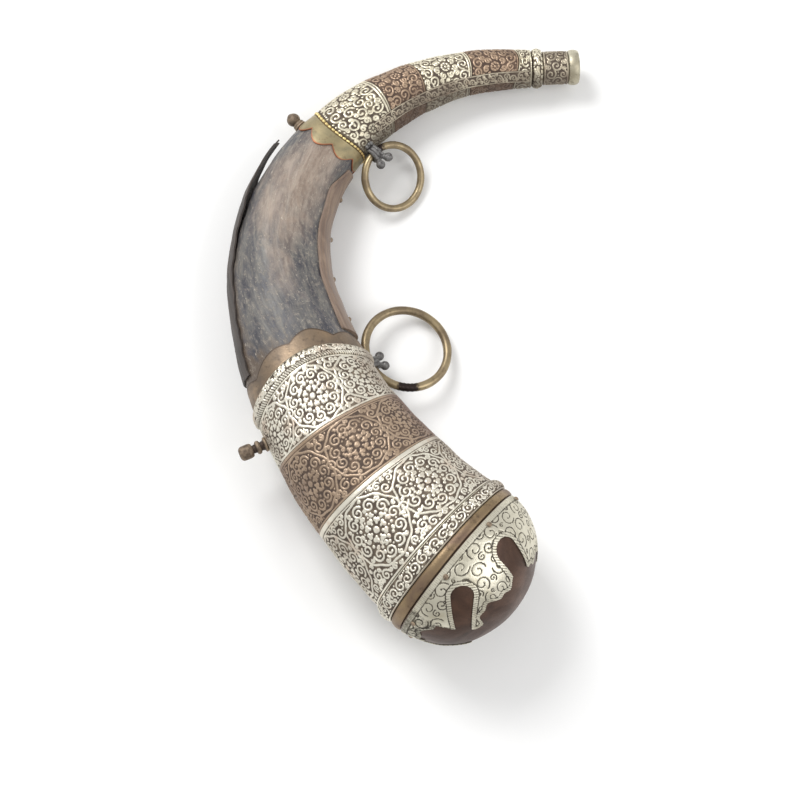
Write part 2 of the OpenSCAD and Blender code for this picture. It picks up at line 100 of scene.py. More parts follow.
def half_width(s):
    """Half the horn's width in its bend plane, on a smooth curve through the known widths."""
    s = np.asarray(s, float)
    i = np.clip(np.searchsorted(WIDTH_S, s, side="right") - 1, 0, 4)
    d = WIDTH_S[i + 1] - WIDTH_S[i]
    u = np.clip((s - WIDTH_S[i]) / d, 0, 1)
    return ((2 * u**3 - 3 * u**2 + 1) * WIDTH_R[i] + (u**3 - 2 * u**2 + u) * d * WIDTH_SLOPE[i]
            + (3 * u**2 - 2 * u**3) * WIDTH_R[i + 1] + (u**3 - u**2) * d * WIDTH_SLOPE[i + 1])


def depth_ratio(s):
    return BODY_DEPTH + (1 - BODY_DEPTH) * ease((np.asarray(s, float) - 200) / 172)


def skin(s, th, off):
    """Point on the horn: s along it, th degrees round it from the inner edge over the front."""
    s, t, off = np.broadcast_arrays(np.asarray(s, float), np.radians(th), off)
    c, h = spine(s)
    a = half_width(s)
    r = (a + off) * np.cos(t)
    return np.stack([c[..., 0] + r * np.sin(h), c[..., 1] - r * np.cos(h),
                     (a * depth_ratio(s) + off) * np.sin(t)], -1)


def dome(lat, th, off):
    """Point on the domed base: lat is 0 at its seam and 90 at its crown."""
    la, t, off = np.broadcast_arrays(np.radians(lat), np.radians(th), off)
    d = (DOME_H + off) * np.sin(la)
    r = (WIDTH_R[0] + off) * np.cos(la) * np.cos(t)
    return np.stack([-d * math.cos(HEADING) + r * math.sin(HEADING),
                     -d * math.sin(HEADING) - r * math.cos(HEADING),
                     (WIDTH_R[0] * BODY_DEPTH + off) * np.cos(la) * np.sin(t)], -1)


ROLL, PITCH = math.radians(-0.6), math.radians(-5.4)   # how the horn lies on the floor
LIE = Matrix.Rotation(ROLL, 3, "Y") @ Matrix.Rotation(PITCH, 3, "X")
LIE_NP = np.array(LIE)
LOWER_LUG = (122.0, -22.0, 5.25)   # place along the horn, round it, and height of the eye
UPPER_LUG = (279.0, 8.0, 3.7)
LOWER_SWING = next(j for j in frame["joints"] if j["name"] == "lower_ring_swing")
PLACED = np.array(LOWER_SWING["pos_m"]) / MM - LIE_NP @ skin(*LOWER_LUG)


def lay(p):
    """Takes points from the horn's own millimetres to the frame's metres."""
    return (p @ LIE_NP.T + PLACED) * MM


def dent(s, th):
    """Unevenness of the hand-beaten metal, shared by every layer."""
    s, t = np.broadcast_arrays(np.asarray(s, float), np.radians(th))
    bumps = (0.30 * np.sin(s / 13 + 2.1 * np.sin(t)) * np.cos(2 * t + s / 31)
             + 0.17 * np.sin(s / 5.7 - 1.3 * np.cos(3 * t))
             + 0.12 * np.sin(s / 3.1 + 5 * np.cos(t)) * np.sin(4 * t))
    return bumps * ease((TIP_S - 20 - s) / 60)


def on_skin(s, th, off):
    """Point on the dented horn, in the frame's metres."""
    return lay(skin(s, th, off + dent(s, th)))


def on_dome(lat, th, off):
    """Point on the dented base, in the frame's metres."""
    lat_b, th_b = np.broadcast_arrays(np.asarray(lat, float), th)
    bumps = dent(-lat_b * 0.7, th_b) * np.cos(np.radians(lat_b)) * 1.6
    return lay(dome(lat_b, th_b, off + bumps))


def stand(s, th, off):
    """Matrix that stands millimetres on the horn, with +X out of it and +Y towards the spout."""
    c, h = spine(s)
    normal = math.atan2(math.sin(math.radians(th)) / float(depth_ratio(s)), math.cos(math.radians(th)))
    taper = math.atan(float(half_width(s - 2) - half_width(s + 2)) / 4)
    turned = (Matrix.Rotation(float(h) - math.pi / 2, 4, "Z") @ Matrix.Rotation(-normal, 4, "Y")
              @ Matrix.Rotation(taper * abs(math.cos(math.radians(th))), 4, "Z"))
    place = Matrix.Translation(Vector(lay(skin(s, th, off))))
    return place @ LIE.to_4x4() @ turned @ Matrix.Scale(MM, 4)


def waves(p, size, seed, count=9):
    """Smooth unevenness of about 1 over points p, in features of about size."""
    rng = np.random.default_rng(seed)
    out = np.zeros(p.shape[:-1])
    for _ in range(count):
        k = rng.normal(size=p.shape[-1])
        k *= 2 * math.pi / (size * rng.uniform(0.7, 1.6) * np.linalg.norm(k))
        out += np.cos(p @ k + rng.uniform(0, 6.28))
    return out / math.sqrt(count)


# ---- Chased relief ----

DOT_Y, DOT_X = np.mgrid[-5:6, -5:6]    # samples round a dot that have to be free


def polar(cx, cy, r, a):
    return cx + r * np.cos(a), cy + r * np.sin(a)


class Tile:
    """Relief that repeats round the horn: w millimetres round it and h along it, 0 low to 1 high."""

    def __init__(self, w, h, seed=1):
        self.w, self.h = w, h
        self.nx, self.ny = int(round(w * DOTS)), int(round(h * DOTS)) + 1
        self.high = np.zeros((self.ny, self.nx))
        self.rng = np.random.default_rng(seed)

    def stroke(self, x, y, r, top=1.0):
        """Raised line through the points x, y with half width r."""
        x, y = np.atleast_1d(x).astype(float), np.atleast_1d(y).astype(float)
        r = np.broadcast_to(np.asarray(r, float), x.shape)
        k = int(math.ceil(r.max() * DOTS)) + 1
        oy, ox = np.mgrid[-k:k + 1, -k:k + 1]
        ix = np.rint(x * DOTS).astype(int)[:, None, None] + ox
        iy = np.rint(y * DOTS).astype(int)[:, None, None] + oy
        d = np.hypot(ix / DOTS - x[:, None, None], iy / DOTS - y[:, None, None]) / r[:, None, None]
        high = top * np.clip(1.5 * (1 - d * d), 0, 1)
        ok = (iy >= 0) & (iy < self.ny)
        np.maximum.at(self.high, (iy[ok], ix[ok] % self.nx), high[ok])

    def curl(self, cx, cy, r, start, hand=1, turns=1.2, line=0.5):
        """Scroll that winds in from r to a round bud."""
        t = np.linspace(0, 1, max(12, int(r * turns * 22)))
        a = start + hand * turns * 2 * math.pi * t
        rad = r * (1 - 0.78 * t)
        self.stroke(*polar(cx, cy, rad, a), line * (1.1 - 0.35 * t))
        self.stroke(*polar(cx, cy, rad[-1], a[-1]), line * 1.3)

    def line(self, y, r=0.3, top=1.0):
        x = np.arange(0, self.w, 0.2)
        self.stroke(x, np.full_like(x, y), r, top)

    def ring(self, cx, cy, r, line, wave, lobes):
        a = np.linspace(0, 2 * math.pi, int(r * 45))
        self.stroke(*polar(cx, cy, r * (1 + wave * np.cos(lobes * a)), a), line)

    def flower(self, cx, cy, r, petals=8):
        self.stroke(cx, cy, r * 0.3)
        for k in range(petals):
            a = 2 * math.pi * k / petals
            for side in (a - 0.14, a + 0.14):
                self.stroke(*polar(cx, cy, r * 0.82, side), r * 0.19)
            self.stroke(*polar(cx, cy, r * np.linspace(0.55, 0.8, 5), a), r * 0.12)

    def medallion(self, cx, cy, r, scrolls=11):
        self.flower(cx, cy, r * 0.31)
        for k in range(scrolls):
            a = 2 * math.pi * (k + 0.5) / scrolls
            b = a + math.pi / scrolls
            self.curl(*polar(cx, cy, 0.6 * r, a), 0.165 * r, a + 1.2, -1, 1.3)
            self.stroke(*polar(cx, cy, 0.43 * r, b), 0.045 * r)
        self.ring(cx, cy, r * 0.86, 0.55, 0.02, scrolls)

    def fill(self, sizes=(2.6, 2.1, 1.6, 1.2, 0.9), tries=900, clear=0.05, dots=True):
        """Packs scrolls, then dots, into whatever room is left."""
        for r in sizes:
            need = int((r + clear) * DOTS)
            oy, ox = np.mgrid[-need:need + 1, -need:need + 1]
            disc = (ox ** 2 + oy ** 2) <= need ** 2
            oy, ox = oy[disc], ox[disc]
            for _ in range(tries):
                x, y = self.rng.uniform(0, self.w), self.rng.uniform(r, self.h - r)
                a, hand = self.rng.uniform(0, 6.28), self.rng.choice([-1, 1])
                iy = np.clip(int(y * DOTS) + oy, 0, self.ny - 1)
                if self.high[iy, (int(x * DOTS) + ox) % self.nx].max() < 0.3:
                    self.curl(x, y, r, a, hand, line=0.46 if r > 1.4 else 0.38)
        for _ in range(3 * tries if dots else 0):
            x, y = self.rng.uniform(0, self.w), self.rng.uniform(0.5, self.h - 0.5)
            iy = np.clip(int(y * DOTS) + DOT_Y, 0, self.ny - 1)
            if self.high[iy, (int(x * DOTS) + DOT_X) % self.nx].max() < 0.25:
                self.stroke(x, y, 0.5)
        return self

    def at(self, x, y):
        """Relief at x round and y along, wrapping round."""
        fx, fy = (x * DOTS) % self.nx, np.clip(y * DOTS, 0, self.ny - 1.001)
        ix, iy = fx.astype(int), fy.astype(int)
        u, v = fx - ix, fy - iy
        ix, jx = ix % self.nx, (ix + 1) % self.nx
        return ((1 - u) * (1 - v) * self.high[iy, ix] + u * (1 - v) * self.high[iy, jx]
                + (1 - u) * v * self.high[iy + 1, ix] + u * v * self.high[iy + 1, jx])


def medallion_tile(w, h, seed, fillet=0.0, rise=0.0):
    """Medallions side by side, scrolls between them, and a plain fillet at the upper edge."""
    t = Tile(w, h, seed)
    room = h - fillet
    t.medallion(w / 2, room / 2 + rise, min(w, room) * 0.58)
    t.line(0.45, 0.5)
    t.line(room - 0.3, 0.34)
    if fillet:
        for y in np.arange(room + 0.9, h, 0.4):
            t.line(y, 0.5)
    t.curl(0, room * 0.5, 2.6, 0.6)
    t.curl(0, room * 0.16, 2.8, 2.0, -1)
    t.curl(0, room * 0.84, 2.8, 4.0)
    return t.fill()


def scroll_tile(w, h, seed, sizes=(2.9, 2.2, 1.6, 1.2), lines=(0.5,), flower=True):
    """Close scrolls, a flower in the middle, and lines along both edges, or the far one where y < 0."""
    t = Tile(w, h, seed)
    for y in lines:
        if y > 0:
            t.line(y, 0.36)
        t.line(h - abs(y), 0.36)
    if flower:
        t.flower(w / 2, h / 2, 2.6)
        for k in range(7):
            a = 2 * math.pi * k / 7
            t.curl(*polar(w / 2, h / 2, 5, a), 1.75, a + 2.4, -1)
    return t.fill(sizes)


# ---- Meshes ----


def add_object(name, data):
    obj = bpy.data.objects.new(name, data)
    bpy.context.scene.collection.objects.link(obj)
    return obj


def mesh_object(name, co, quads, tris=None, values=None):
    """Object from points in metres, with its faces turned outwards and its values stored by point."""
    tris = np.zeros((0, 3), int) if tris is None else np.asarray(tris, int)
    quads = np.asarray(quads, int).reshape(-1, 4)
    halves = np.concatenate([quads[:, [0, 1, 2]], quads[:, [0, 2, 3]], tris])
    a, b, c = (co[halves[:, k]] for k in range(3))
    if np.einsum("ij,ij->i", a, np.cross(b, c)).sum() < 0:
        quads, tris = quads[:, ::-1], tris[:, ::-1]
    loops = np.concatenate([quads.ravel(), tris.ravel()]).astype(np.int32)
    starts = np.concatenate([4 * np.arange(len(quads)), 4 * len(quads) + 3 * np.arange(len(tris))])
    mesh = bpy.data.meshes.new(name)
    mesh.vertices.add(len(co))
    mesh.vertices.foreach_set("co", np.asarray(co, np.float32).ravel())
    mesh.loops.add(len(loops))
    mesh.loops.foreach_set("vertex_index", loops)
    mesh.polygons.add(len(starts))
    mesh.polygons.foreach_set("loop_start", starts.astype(np.int32))
    mesh.polygons.foreach_set("use_smooth", np.ones(len(starts), bool))
    for key, data in (values or {}).items():
        if np.ndim(data) == 1:
            layer = mesh.attributes.new(key, "FLOAT", "POINT")
            layer.data.foreach_set("value", np.asarray(data, np.float32))
        else:
            layer = mesh.attributes.new(key, "FLOAT_VECTOR", "POINT")
            layer.data.foreach_set("vector", np.asarray(data, np.float32).ravel())
    mesh.update(calc_edges=True)
    mesh.validate()
    mesh.set_sharp_from_angle(angle=math.radians(70))
    return add_object(name, mesh)


def dress(obj, material, node, body="horn"):
    """Gives a piece its material in a slot and its body, and hides the CAD node that it stands for."""
    obj.data.materials.append(material)
    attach(obj, body)
    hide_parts(node)
    return obj


def rows_of_quads(rows, cols, start, closed):
    """Faces of a grid of points, numbered from start, wrapping round where closed."""
    j = np.arange(cols if closed else cols - 1)
    nxt = (j + 1) % cols
    i = start + np.arange(rows - 1)[:, None] * cols
    return np.stack([i + j, i + nxt, i + cols + nxt, i + cols + j], -1).reshape(-1, 4)


def sheet(name, top, under, closed, values=None, poles=None):
    """Closed sheet between two grids of points with the same columns. poles closes the first row."""
    rows, cols = top.shape[:2]
    low_rows = under.shape[0]
    n_top, n_low = rows * cols, low_rows * cols
    quads = [rows_of_quads(rows, cols, 0, closed),
             rows_of_quads(low_rows, cols, n_top, closed)[:, ::-1]]
    j = np.arange(cols if closed else cols - 1)
    nxt = (j + 1) % cols
    last, low_last = n_top - cols, n_top + n_low - cols
    quads.append(np.stack([last + nxt, low_last + nxt, low_last + j, last + j], -1))
    tris = None
    co = [top.reshape(-1, 3), under.reshape(-1, 3)]
    if poles is None:
        quads.append(np.stack([j, n_top + j, n_top + nxt, nxt], -1))
    else:
        pole = n_top + n_low
        co.append(np.array(poles))
        tris = np.concatenate([np.stack([np.full(len(j), pole), nxt, j], -1),
                               np.stack([np.full(len(j), pole + 1), n_top + j, n_top + nxt], -1)])
    if not closed:
        i = np.arange(rows - 1) * cols
        quads.append(np.stack([i + cols, n_top + i + cols, n_top + i, i], -1))
        e = i + cols - 1
        quads.append(np.stack([e, n_top + e, n_top + e + cols, e + cols], -1))
    co = np.concatenate(co)
    full = {}
    for key, data in (values or {}).items():
        width = () if data.ndim == 2 else (data.shape[2],)
        full[key] = np.zeros((len(co),) + width)
        full[key][:n_top] = data.reshape((n_top,) + width)
    return mesh_object(name, co, np.concatenate(quads), tris, full)


def around(th, middle):
    """Angle from middle, between -180 and 180."""
    return (th - middle + 180) % 360 - 180


SHEET_TOP = 0.8                    # outside of a sheet above the wood
SHEET_UNDER = 0.15
FOIL_UNDER = 0.95
FOIL_TOP = 1.45
SPOUT_TUBE_R = 8.15


def girth(s):
    """Length round the horn at s."""
    a = float(half_width(s))
    return math.pi * a * (1 + float(depth_ratio(s)))


def still(th):
    """Straight edge of a band."""
    return 0 * th


def painted_side_shade(s, th):
    """Painted shade on the metal: darker at the inner edge, on the back underneath, and at the outer edge
    low on the horn.
    """
    inner = np.exp(-(around(th, 8) / np.where(s > 270, 48, 40)) ** 2)
    back = 0.55 * np.exp(-(around(th, 268) / 60) ** 2)
    outer = 0.5 * np.exp(-(around(th, 165) / 26) ** 2) * (s < 200)
    return np.clip(inner + back + outer, 0, 1)


def band(node, s0, s1, material, tile=None, repeats=1, phase=0.0, relief=0.42, lift=None,
         from_shift=still, to_shift=still, grid=None, radius=None, edge_at=None):
    """Sheet round the horn from s0 to s1 with a tile's relief, on the skin or at a radius of its own."""
    grid = grid or (FINE if tile else PLAIN)
    nv = int(girth((s0 + s1) / 2) / grid)
    nu = max(4, int((s1 - s0) * (1.3 if lift else 1) / grid))
    u, th = grid_of(np.linspace(0, 1, nu + 1), np.arange(nv) * 360 / nv)
    s = (s0 + from_shift(th)) * (1 - u) + (s1 + to_shift(th)) * u
    high = tile.at((th + phase) / 360 * repeats * tile.w, u * tile.h) if tile else np.full(u.shape, 0.8)
    base = SHEET_TOP if radius is None else radius - half_width(s)
    off = base + (lift(u) if lift else 0) + (relief * (high - 0.45) if tile else 0)
    k = np.linspace(0, nu, 4 if radius is None else nu + 1).astype(int)
    low = SHEET_UNDER if radius is None else SPOUT_TUBE_R - half_width(s[k])
    if edge_at is not None:
        high = np.clip(edge_at(s, th) / 1.3, 0, 1)
    # Painted shade: the second value darkens the metal at the horn's sides and underside.
    values = {"relief": high, "stain_and_shade": painted_side_shade(s, th)}
    obj = sheet(node, on_skin(s, th, off), on_skin(s[k], th[k], low), True, values)
    return dress(obj, material, node)


def half_round(height):
    """Lift of a half-round moulding across its width."""
    return lambda u: height * np.sqrt(np.clip(1 - (2 * u - 1) ** 2, 0, 1))


def lathe(profile, segments=48, wobble=0.0, seed=3):
    """Turned piece along +X from a list of (x, radius), closed at both ends, in millimetres."""
    prof = np.array(profile, float)
    a = np.arange(segments) * 2 * math.pi / segments
    x = np.repeat(prof[:, :1], segments, 1)
    r = prof[:, 1:2] * np.ones(segments)
    co = np.stack([x, r * np.cos(a), r * np.sin(a)], -1)
    if wobble:
        out = co / np.maximum(np.linalg.norm(co, axis=-1), 1)[..., None]
        co += (wobble * waves(co, 2.5, seed))[..., None] * out
    rows = len(prof)
    quads = rows_of_quads(rows, segments, 0, True)
    j = np.arange(segments)
    nxt = (j + 1) % segments
    n = rows * segments
    tris = np.concatenate([np.stack([np.full(segments, n), nxt, j], -1),
                           np.stack([np.full(segments, n + 1), n - segments + j, n - segments + nxt], -1)])
    ends = np.array([[prof[0, 0], 0, 0], [prof[-1, 0], 0, 0]])
    return np.concatenate([co.reshape(-1, 3), ends]), quads, tris


def placed(co, matrix):
    """Points moved by a matrix."""
    m = np.array(matrix)
    return co @ m[:3, :3].T + m[:3, 3]


# ---- Materials ----

def rgb(r, g, b):
    """Linear colour from the values that a screen shows."""
    return tuple(c / 12.92 if c <= 0.04045 else ((c + 0.055) / 1.055) ** 2.4 for c in (r, g, b)) + (1,)


class Shader:
    """A Principled material and short calls for the nodes that drive it."""

    def __init__(self, name, metallic=0.0, roughness=0.5, specular=0.5):
        self.mat = bpy.data.materials.new(name)
        self.mat.use_nodes = True
        self.tree = self.mat.node_tree
        self.bsdf = self.tree.nodes["Principled BSDF"]
        self.bsdf.inputs["Metallic"].default_value = metallic
        self.bsdf.inputs["Roughness"].default_value = roughness
        self.bsdf.inputs["Specular IOR Level"].default_value = specular
        self.coords = self.add("ShaderNodeTexCoord").outputs["Object"]

    def add(self, kind):
        return self.tree.nodes.new(kind)

    def link(self, value, socket):
        if hasattr(value, "is_output"):
            self.tree.links.new(value, socket)
        else:
            socket.default_value = value

    def attribute(self, name, vector=False):
        node = self.add("ShaderNodeAttribute")
        node.attribute_name = name
        return node.outputs["Vector" if vector else "Fac"]

    def noise(self, scale, detail=4.0, rough=0.6, at=None, stretch=None, warp=0.0):
        node = self.add("ShaderNodeTexNoise")
        for key, v in (("Scale", scale), ("Detail", detail), ("Roughness", rough), ("Distortion", warp)):
            node.inputs[key].default_value = v
        where = at or self.coords
        if stretch:
            mapping = self.add("ShaderNodeMapping")
            mapping.inputs["Scale"].default_value = stretch
            self.tree.links.new(where, mapping.inputs["Vector"])
            where = mapping.outputs["Vector"]
        self.tree.links.new(where, node.inputs["Vector"])
        return node.outputs["Fac"]

    def flow_noise(self, detail, rough, stretch, warp=0.0):
        """Noise that runs along the horn, from the "flow" attribute."""
        return self.noise(1.0, detail, rough, self.attribute("flow", vector=True), stretch, warp)

    def wander(self, value, much):
        """Noise made to vary by much about 0."""
        return self.span(value, 0.3, 0.7, -much, much)

    def span(self, value, low, high, to_low=0.0, to_high=1.0):
        node = self.add("ShaderNodeMapRange")
        self.link(value, node.inputs["Value"])
        for key, v in (("From Min", low), ("From Max", high), ("To Min", to_low), ("To Max", to_high)):
            node.inputs[key].default_value = v
        return node.outputs["Result"]

    def math(self, kind, a, b):
        node = self.add("ShaderNodeMath")
        node.operation = kind
        self.link(a, node.inputs[0])
        self.link(b, node.inputs[1])
        return node.outputs[0]

    def mix(self, fac, a, b):
        node = self.add("ShaderNodeMix")
        node.data_type = "RGBA"
        self.link(fac, node.inputs["Factor"])
        self.link(a, node.inputs["A"])
        self.link(b, node.inputs["B"])
        return next(o for o in node.outputs if o.type == "RGBA")

    def set(self, name, value):
        self.link(value, self.bsdf.inputs[name])

    def bump(self, height, strength, distance):
        node = self.add("ShaderNodeBump")
        node.inputs["Strength"].default_value = strength
        node.inputs["Distance"].default_value = distance
        self.link(height, node.inputs["Height"])
        self.tree.links.new(node.outputs["Normal"], self.bsdf.inputs["Normal"])


def chased_metal(name, bright, tarnish, recess, warm, patina=0.45, shine=0.8, shade_tone=None):
    """Metal bright on its high lines, dark with dirt between them, and darker with painted shade where the
    shade attribute is high.
    """
    sh = Shader(name)
    bright, tarnish, recess, warm = (rgb(*c) for c in (bright, tarnish, recess, warm))
    relief = sh.attribute("relief")
    grain = sh.noise(900, 5)
    cloud = sh.noise(38, 5, 0.62, warp=0.4)
    stain_and_shade = sh.math("ADD", sh.attribute("stain_and_shade"), sh.wander(cloud, 0.22))
    stain_and_shade = sh.span(stain_and_shade, 0.25, 0.95)
    worn = sh.math("ADD", relief, sh.wander(grain, 0.2))
    clean = sh.span(worn, 0.12, 0.58)
    tarnished = sh.span(cloud, 0.46, 0.72, 0.0, patina)
    metal = sh.mix(tarnished, bright, tarnish)
    metal = sh.mix(sh.span(sh.noise(120, 4), 0.54, 0.72, 0, 0.5), metal, warm)
    # Painted shade: darkens the metal towards the shade tone, else the tarnish colour, where the shade
    # attribute is high.
    metal = sh.mix(sh.math("MULTIPLY", stain_and_shade, 0.72), metal, rgb(*shade_tone) if shade_tone else tarnish)
    dirt = sh.mix(sh.span(sh.noise(210, 4), 0.45, 0.68, 0, 0.7), recess, warm if shine < 0.7 else tarnish)
    dirt = sh.mix(0.45, recess, dirt)
    sh.set("Base Color", sh.mix(clean, dirt, metal))
    sh.set("Metallic", sh.math("MULTIPLY", clean, sh.span(stain_and_shade, 0, 1, shine, shine * 0.45)))
    polish = sh.math("SUBTRACT", clean, sh.math("MULTIPLY", stain_and_shade, 0.4))
    sh.set("Roughness", sh.span(polish, 0, 1, 0.8, 0.38))
    sh.bump(grain, 0.4, 0.0003)
    return sh.mat


def plain_metal(name, bright, tarnish, dirt, metallic=0.75, rough=(0.34, 0.6), scale=60, rim=None):
    """Plain metal with drifting tarnish, dirt spots and fine scratches."""
    sh = Shader(name, metallic=metallic)
    cloud = sh.noise(scale, 6, 0.62, warp=0.6)
    spots = sh.noise(scale * 5, 5, 0.7)
    scratch = sh.noise(300, 3, 0.5, stretch=(1, 14, 5))
    metal = sh.mix(sh.span(cloud, 0.38, 0.66), rgb(*bright), rgb(*tarnish))
    metal = sh.mix(sh.span(spots, 0.55, 0.78, 0, 0.85), metal, rgb(*dirt))
    if rim:
        near = sh.math("ADD", sh.attribute("relief"), sh.wander(spots, 0.2))
        metal = sh.mix(sh.span(near, 0.25, 0.75, 0.85, 0), metal, rgb(*rim))
    sh.set("Base Color", metal)
    wear = sh.math("ADD", cloud, sh.span(scratch, 0, 1, -0.2, 0.2))
    sh.set("Roughness", sh.span(wear, 0.3, 0.75, *rough))
    sh.bump(sh.math("ADD", spots, scratch), 0.4, 0.0002)
    return sh.mat


def horn_material():
    """Worn dark wood: soft lengthwise streaks, tan rubbed patches, mottling and pale scratches."""
    sh = Shader("worn_wood", roughness=0.5)
    tan = sh.attribute("relief")
    brown = sh.attribute("stain_and_shade")
    streak = sh.flow_noise(5, 0.6, (0.06, 0.24, 1), warp=0.8)
    grain = sh.flow_noise(6, 0.72, (0.22, 1.3, 1))
    mottle = sh.flow_noise(6, 0.75, (0.35, 0.45, 1), warp=0.4)
    cloud = sh.flow_noise(5, 0.6, (0.04, 0.07, 1), warp=0.8)
    dark = sh.mix(sh.span(streak, 0.34, 0.66), rgb(0.235, 0.235, 0.265), rgb(0.43, 0.42, 0.40))
    dark = sh.mix(sh.span(cloud, 0.5, 0.7, 0, 0.55), dark, rgb(0.36, 0.36, 0.38))
    warm = sh.mix(sh.span(streak, 0.35, 0.65), rgb(0.50, 0.435, 0.385), rgb(0.62, 0.56, 0.505))
    patch = sh.span(sh.math("ADD", tan, sh.wander(cloud, 0.4)), 0.2, 0.95)
    wood = sh.mix(patch, dark, warm)
    edge = sh.span(sh.math("ADD", brown, sh.wander(streak, 0.3)), 0.3, 0.8, 0, 0.8)
    wood = sh.mix(edge, wood, sh.mix(grain, rgb(0.24, 0.19, 0.155), rgb(0.46, 0.385, 0.31)))
    wood = sh.mix(sh.span(grain, 0.48, 0.78, 0, 0.45), wood, rgb(0.17, 0.15, 0.145))
    wood = sh.mix(sh.span(mottle, 0.5, 0.7, 0, 0.6), wood, rgb(0.60, 0.56, 0.51))
    line = sh.flow_noise(2, 0.5, (0.09, 0.4, 1), warp=1.6)
    near = sh.math("ABSOLUTE", sh.math("SUBTRACT", line, 0.5), 0)
    mark = sh.math("MULTIPLY", sh.span(near, 0.0, 0.012, 1, 0), sh.span(mottle, 0.5, 0.6))
    fleck = sh.flow_noise(3, 0.6, (0.4, 0.9, 1))
    mark = sh.math("MAXIMUM", mark, sh.span(fleck, 0.66, 0.72, 0, 0.8))
    sh.set("Base Color", sh.mix(mark, wood, rgb(0.72, 0.68, 0.62)))
    sh.set("Roughness", sh.span(mottle, 0.3, 0.7, 0.36, 0.62))
    sh.bump(sh.math("ADD", grain, sh.math("MULTIPLY", mark, -0.8)), 0.45, 0.0003)
    return sh.mat


def strip_material(name, light, dark, rough=0.5):
    """Worn strip with the grain along it."""
    sh = Shader(name, roughness=rough)
    streak = sh.flow_noise(6, 0.65, (0.05, 0.6, 1))
    cloud = sh.flow_noise(5, 0.6, (0.06, 0.12, 1), warp=0.5)
    light, dark = rgb(*light), rgb(*dark)
    colour = sh.mix(sh.span(streak, 0.35, 0.65), dark, light)
    sh.set("Base Color", sh.mix(sh.span(cloud, 0.48, 0.68, 0, 0.6), colour, dark))
    sh.set("Roughness", sh.span(streak, 0.3, 0.7, rough - 0.1, rough + 0.15))
    sh.bump(streak, 0.5, 0.0004)
    return sh.mat


def cast_material(name, high, low):
    """Rough casting, worn bright on its edges."""
    sh = Shader(name, metallic=0.55)
    edge = sh.add("ShaderNodeNewGeometry").outputs["Pointiness"]
    grain = sh.noise(500, 6, 0.7)
    worn = sh.math("ADD", sh.span(edge, 0.46, 0.58), sh.wander(grain, 0.35))
    sh.set("Base Color", sh.mix(sh.span(worn, 0.1, 0.9), rgb(*low), rgb(*high)))
    sh.set("Roughness", sh.span(grain, 0.3, 0.7, 0.42, 0.7))
    sh.bump(grain, 0.6, 0.0003)
    return sh.mat


def ring_material():
    """Handled brass wire, darker at the soldered joint."""
    sh = Shader("ring_brass", metallic=0.7)
    joint = sh.attribute("relief")
    cloud = sh.noise(90, 5, 0.6)
    spots = sh.noise(500, 5, 0.65)
    metal = sh.mix(sh.span(cloud, 0.4, 0.65), rgb(0.64, 0.575, 0.45), rgb(0.48, 0.42, 0.335))
    metal = sh.mix(sh.span(spots, 0.56, 0.75, 0, 0.6), metal, rgb(0.28, 0.22, 0.15))
    soot = sh.span(sh.math("ADD", joint, sh.wander(spots, 0.25)), 0.25, 0.6)
    sh.set("Base Color", sh.mix(soot, metal, rgb(0.17, 0.13, 0.12)))
    sh.set("Roughness", sh.span(cloud, 0.3, 0.7, 0.3, 0.5))
    sh.bump(spots, 0.4, 0.0002)
    return sh.mat


DARK = (0.30, 0.255, 0.215)
# The last colour given to each chased metal is its painted shade tone, darkest on the neck.
SILVER_MAT = chased_metal("silver_chased", (0.93, 0.91, 0.85), (0.66, 0.60, 0.51), DARK,
                          (0.82, 0.70, 0.61), shade_tone=(0.52, 0.46, 0.41))
# Darker copy of the silver; on the neck seam strip it is painted shadow.
SILVER_DARK = chased_metal("silver_dark", (0.72, 0.68, 0.60), (0.46, 0.40, 0.34), DARK,
                           (0.60, 0.48, 0.40), patina=0.8, shade_tone=(0.36, 0.31, 0.27))
COPPER_MAT = chased_metal("copper_chased", (0.67, 0.585, 0.50), (0.49, 0.42, 0.365),
                          (0.29, 0.235, 0.20), (0.60, 0.50, 0.40), patina=0.8, shine=0.55,
                          shade_tone=(0.45, 0.37, 0.34))
NECK_SILVER = chased_metal("neck_silver", (0.90, 0.87, 0.78), (0.62, 0.57, 0.46), DARK,
                           (0.72, 0.66, 0.52), shade_tone=(0.25, 0.20, 0.17))
NECK_COPPER = chased_metal("neck_copper", (0.66, 0.565, 0.475), (0.49, 0.41, 0.345),
                           (0.28, 0.215, 0.175), (0.60, 0.49, 0.40), patina=0.8, shine=0.55,
                           shade_tone=(0.24, 0.18, 0.15))
FOIL_MAT = chased_metal("foil_engraved", (0.84, 0.82, 0.75), (0.62, 0.595, 0.51),
                        (0.20, 0.17, 0.13), (0.71, 0.67, 0.56), patina=0.7,
                        shade_tone=(0.33, 0.30, 0.24))
GILT_BEADS = chased_metal("gilt_beads", (0.95, 0.87, 0.62), (0.74, 0.61, 0.38), (0.33, 0.24, 0.13),
                          (0.86, 0.70, 0.42), patina=0.6)
BRASS_MAT = plain_metal("brass_tarnished", (0.58, 0.50, 0.38), (0.45, 0.37, 0.32), (0.24, 0.19, 0.15),
                        scale=40)
PLATE_MAT = plain_metal("brass_plate", (0.55, 0.47, 0.38), (0.42, 0.37, 0.32), (0.24, 0.20, 0.18),
                        metallic=0.5, rim=(0.27, 0.22, 0.19))
UPPER_PLATE_MAT = plain_metal("brass_green", (0.64, 0.58, 0.44), (0.49, 0.465, 0.37), (0.40, 0.31, 0.23),
                              metallic=0.6, rim=(0.62, 0.36, 0.24))
COPPER_SHEET = plain_metal("copper_dome", (0.36, 0.26, 0.205), (0.24, 0.165, 0.125), (0.14, 0.11, 0.095),
                           metallic=0.5, rough=(0.3, 0.5), scale=45)
STEEL_MAT = plain_metal("spout_rim", (0.80, 0.78, 0.70), (0.58, 0.54, 0.45), (0.30, 0.26, 0.20))
HORN_MAT = horn_material()
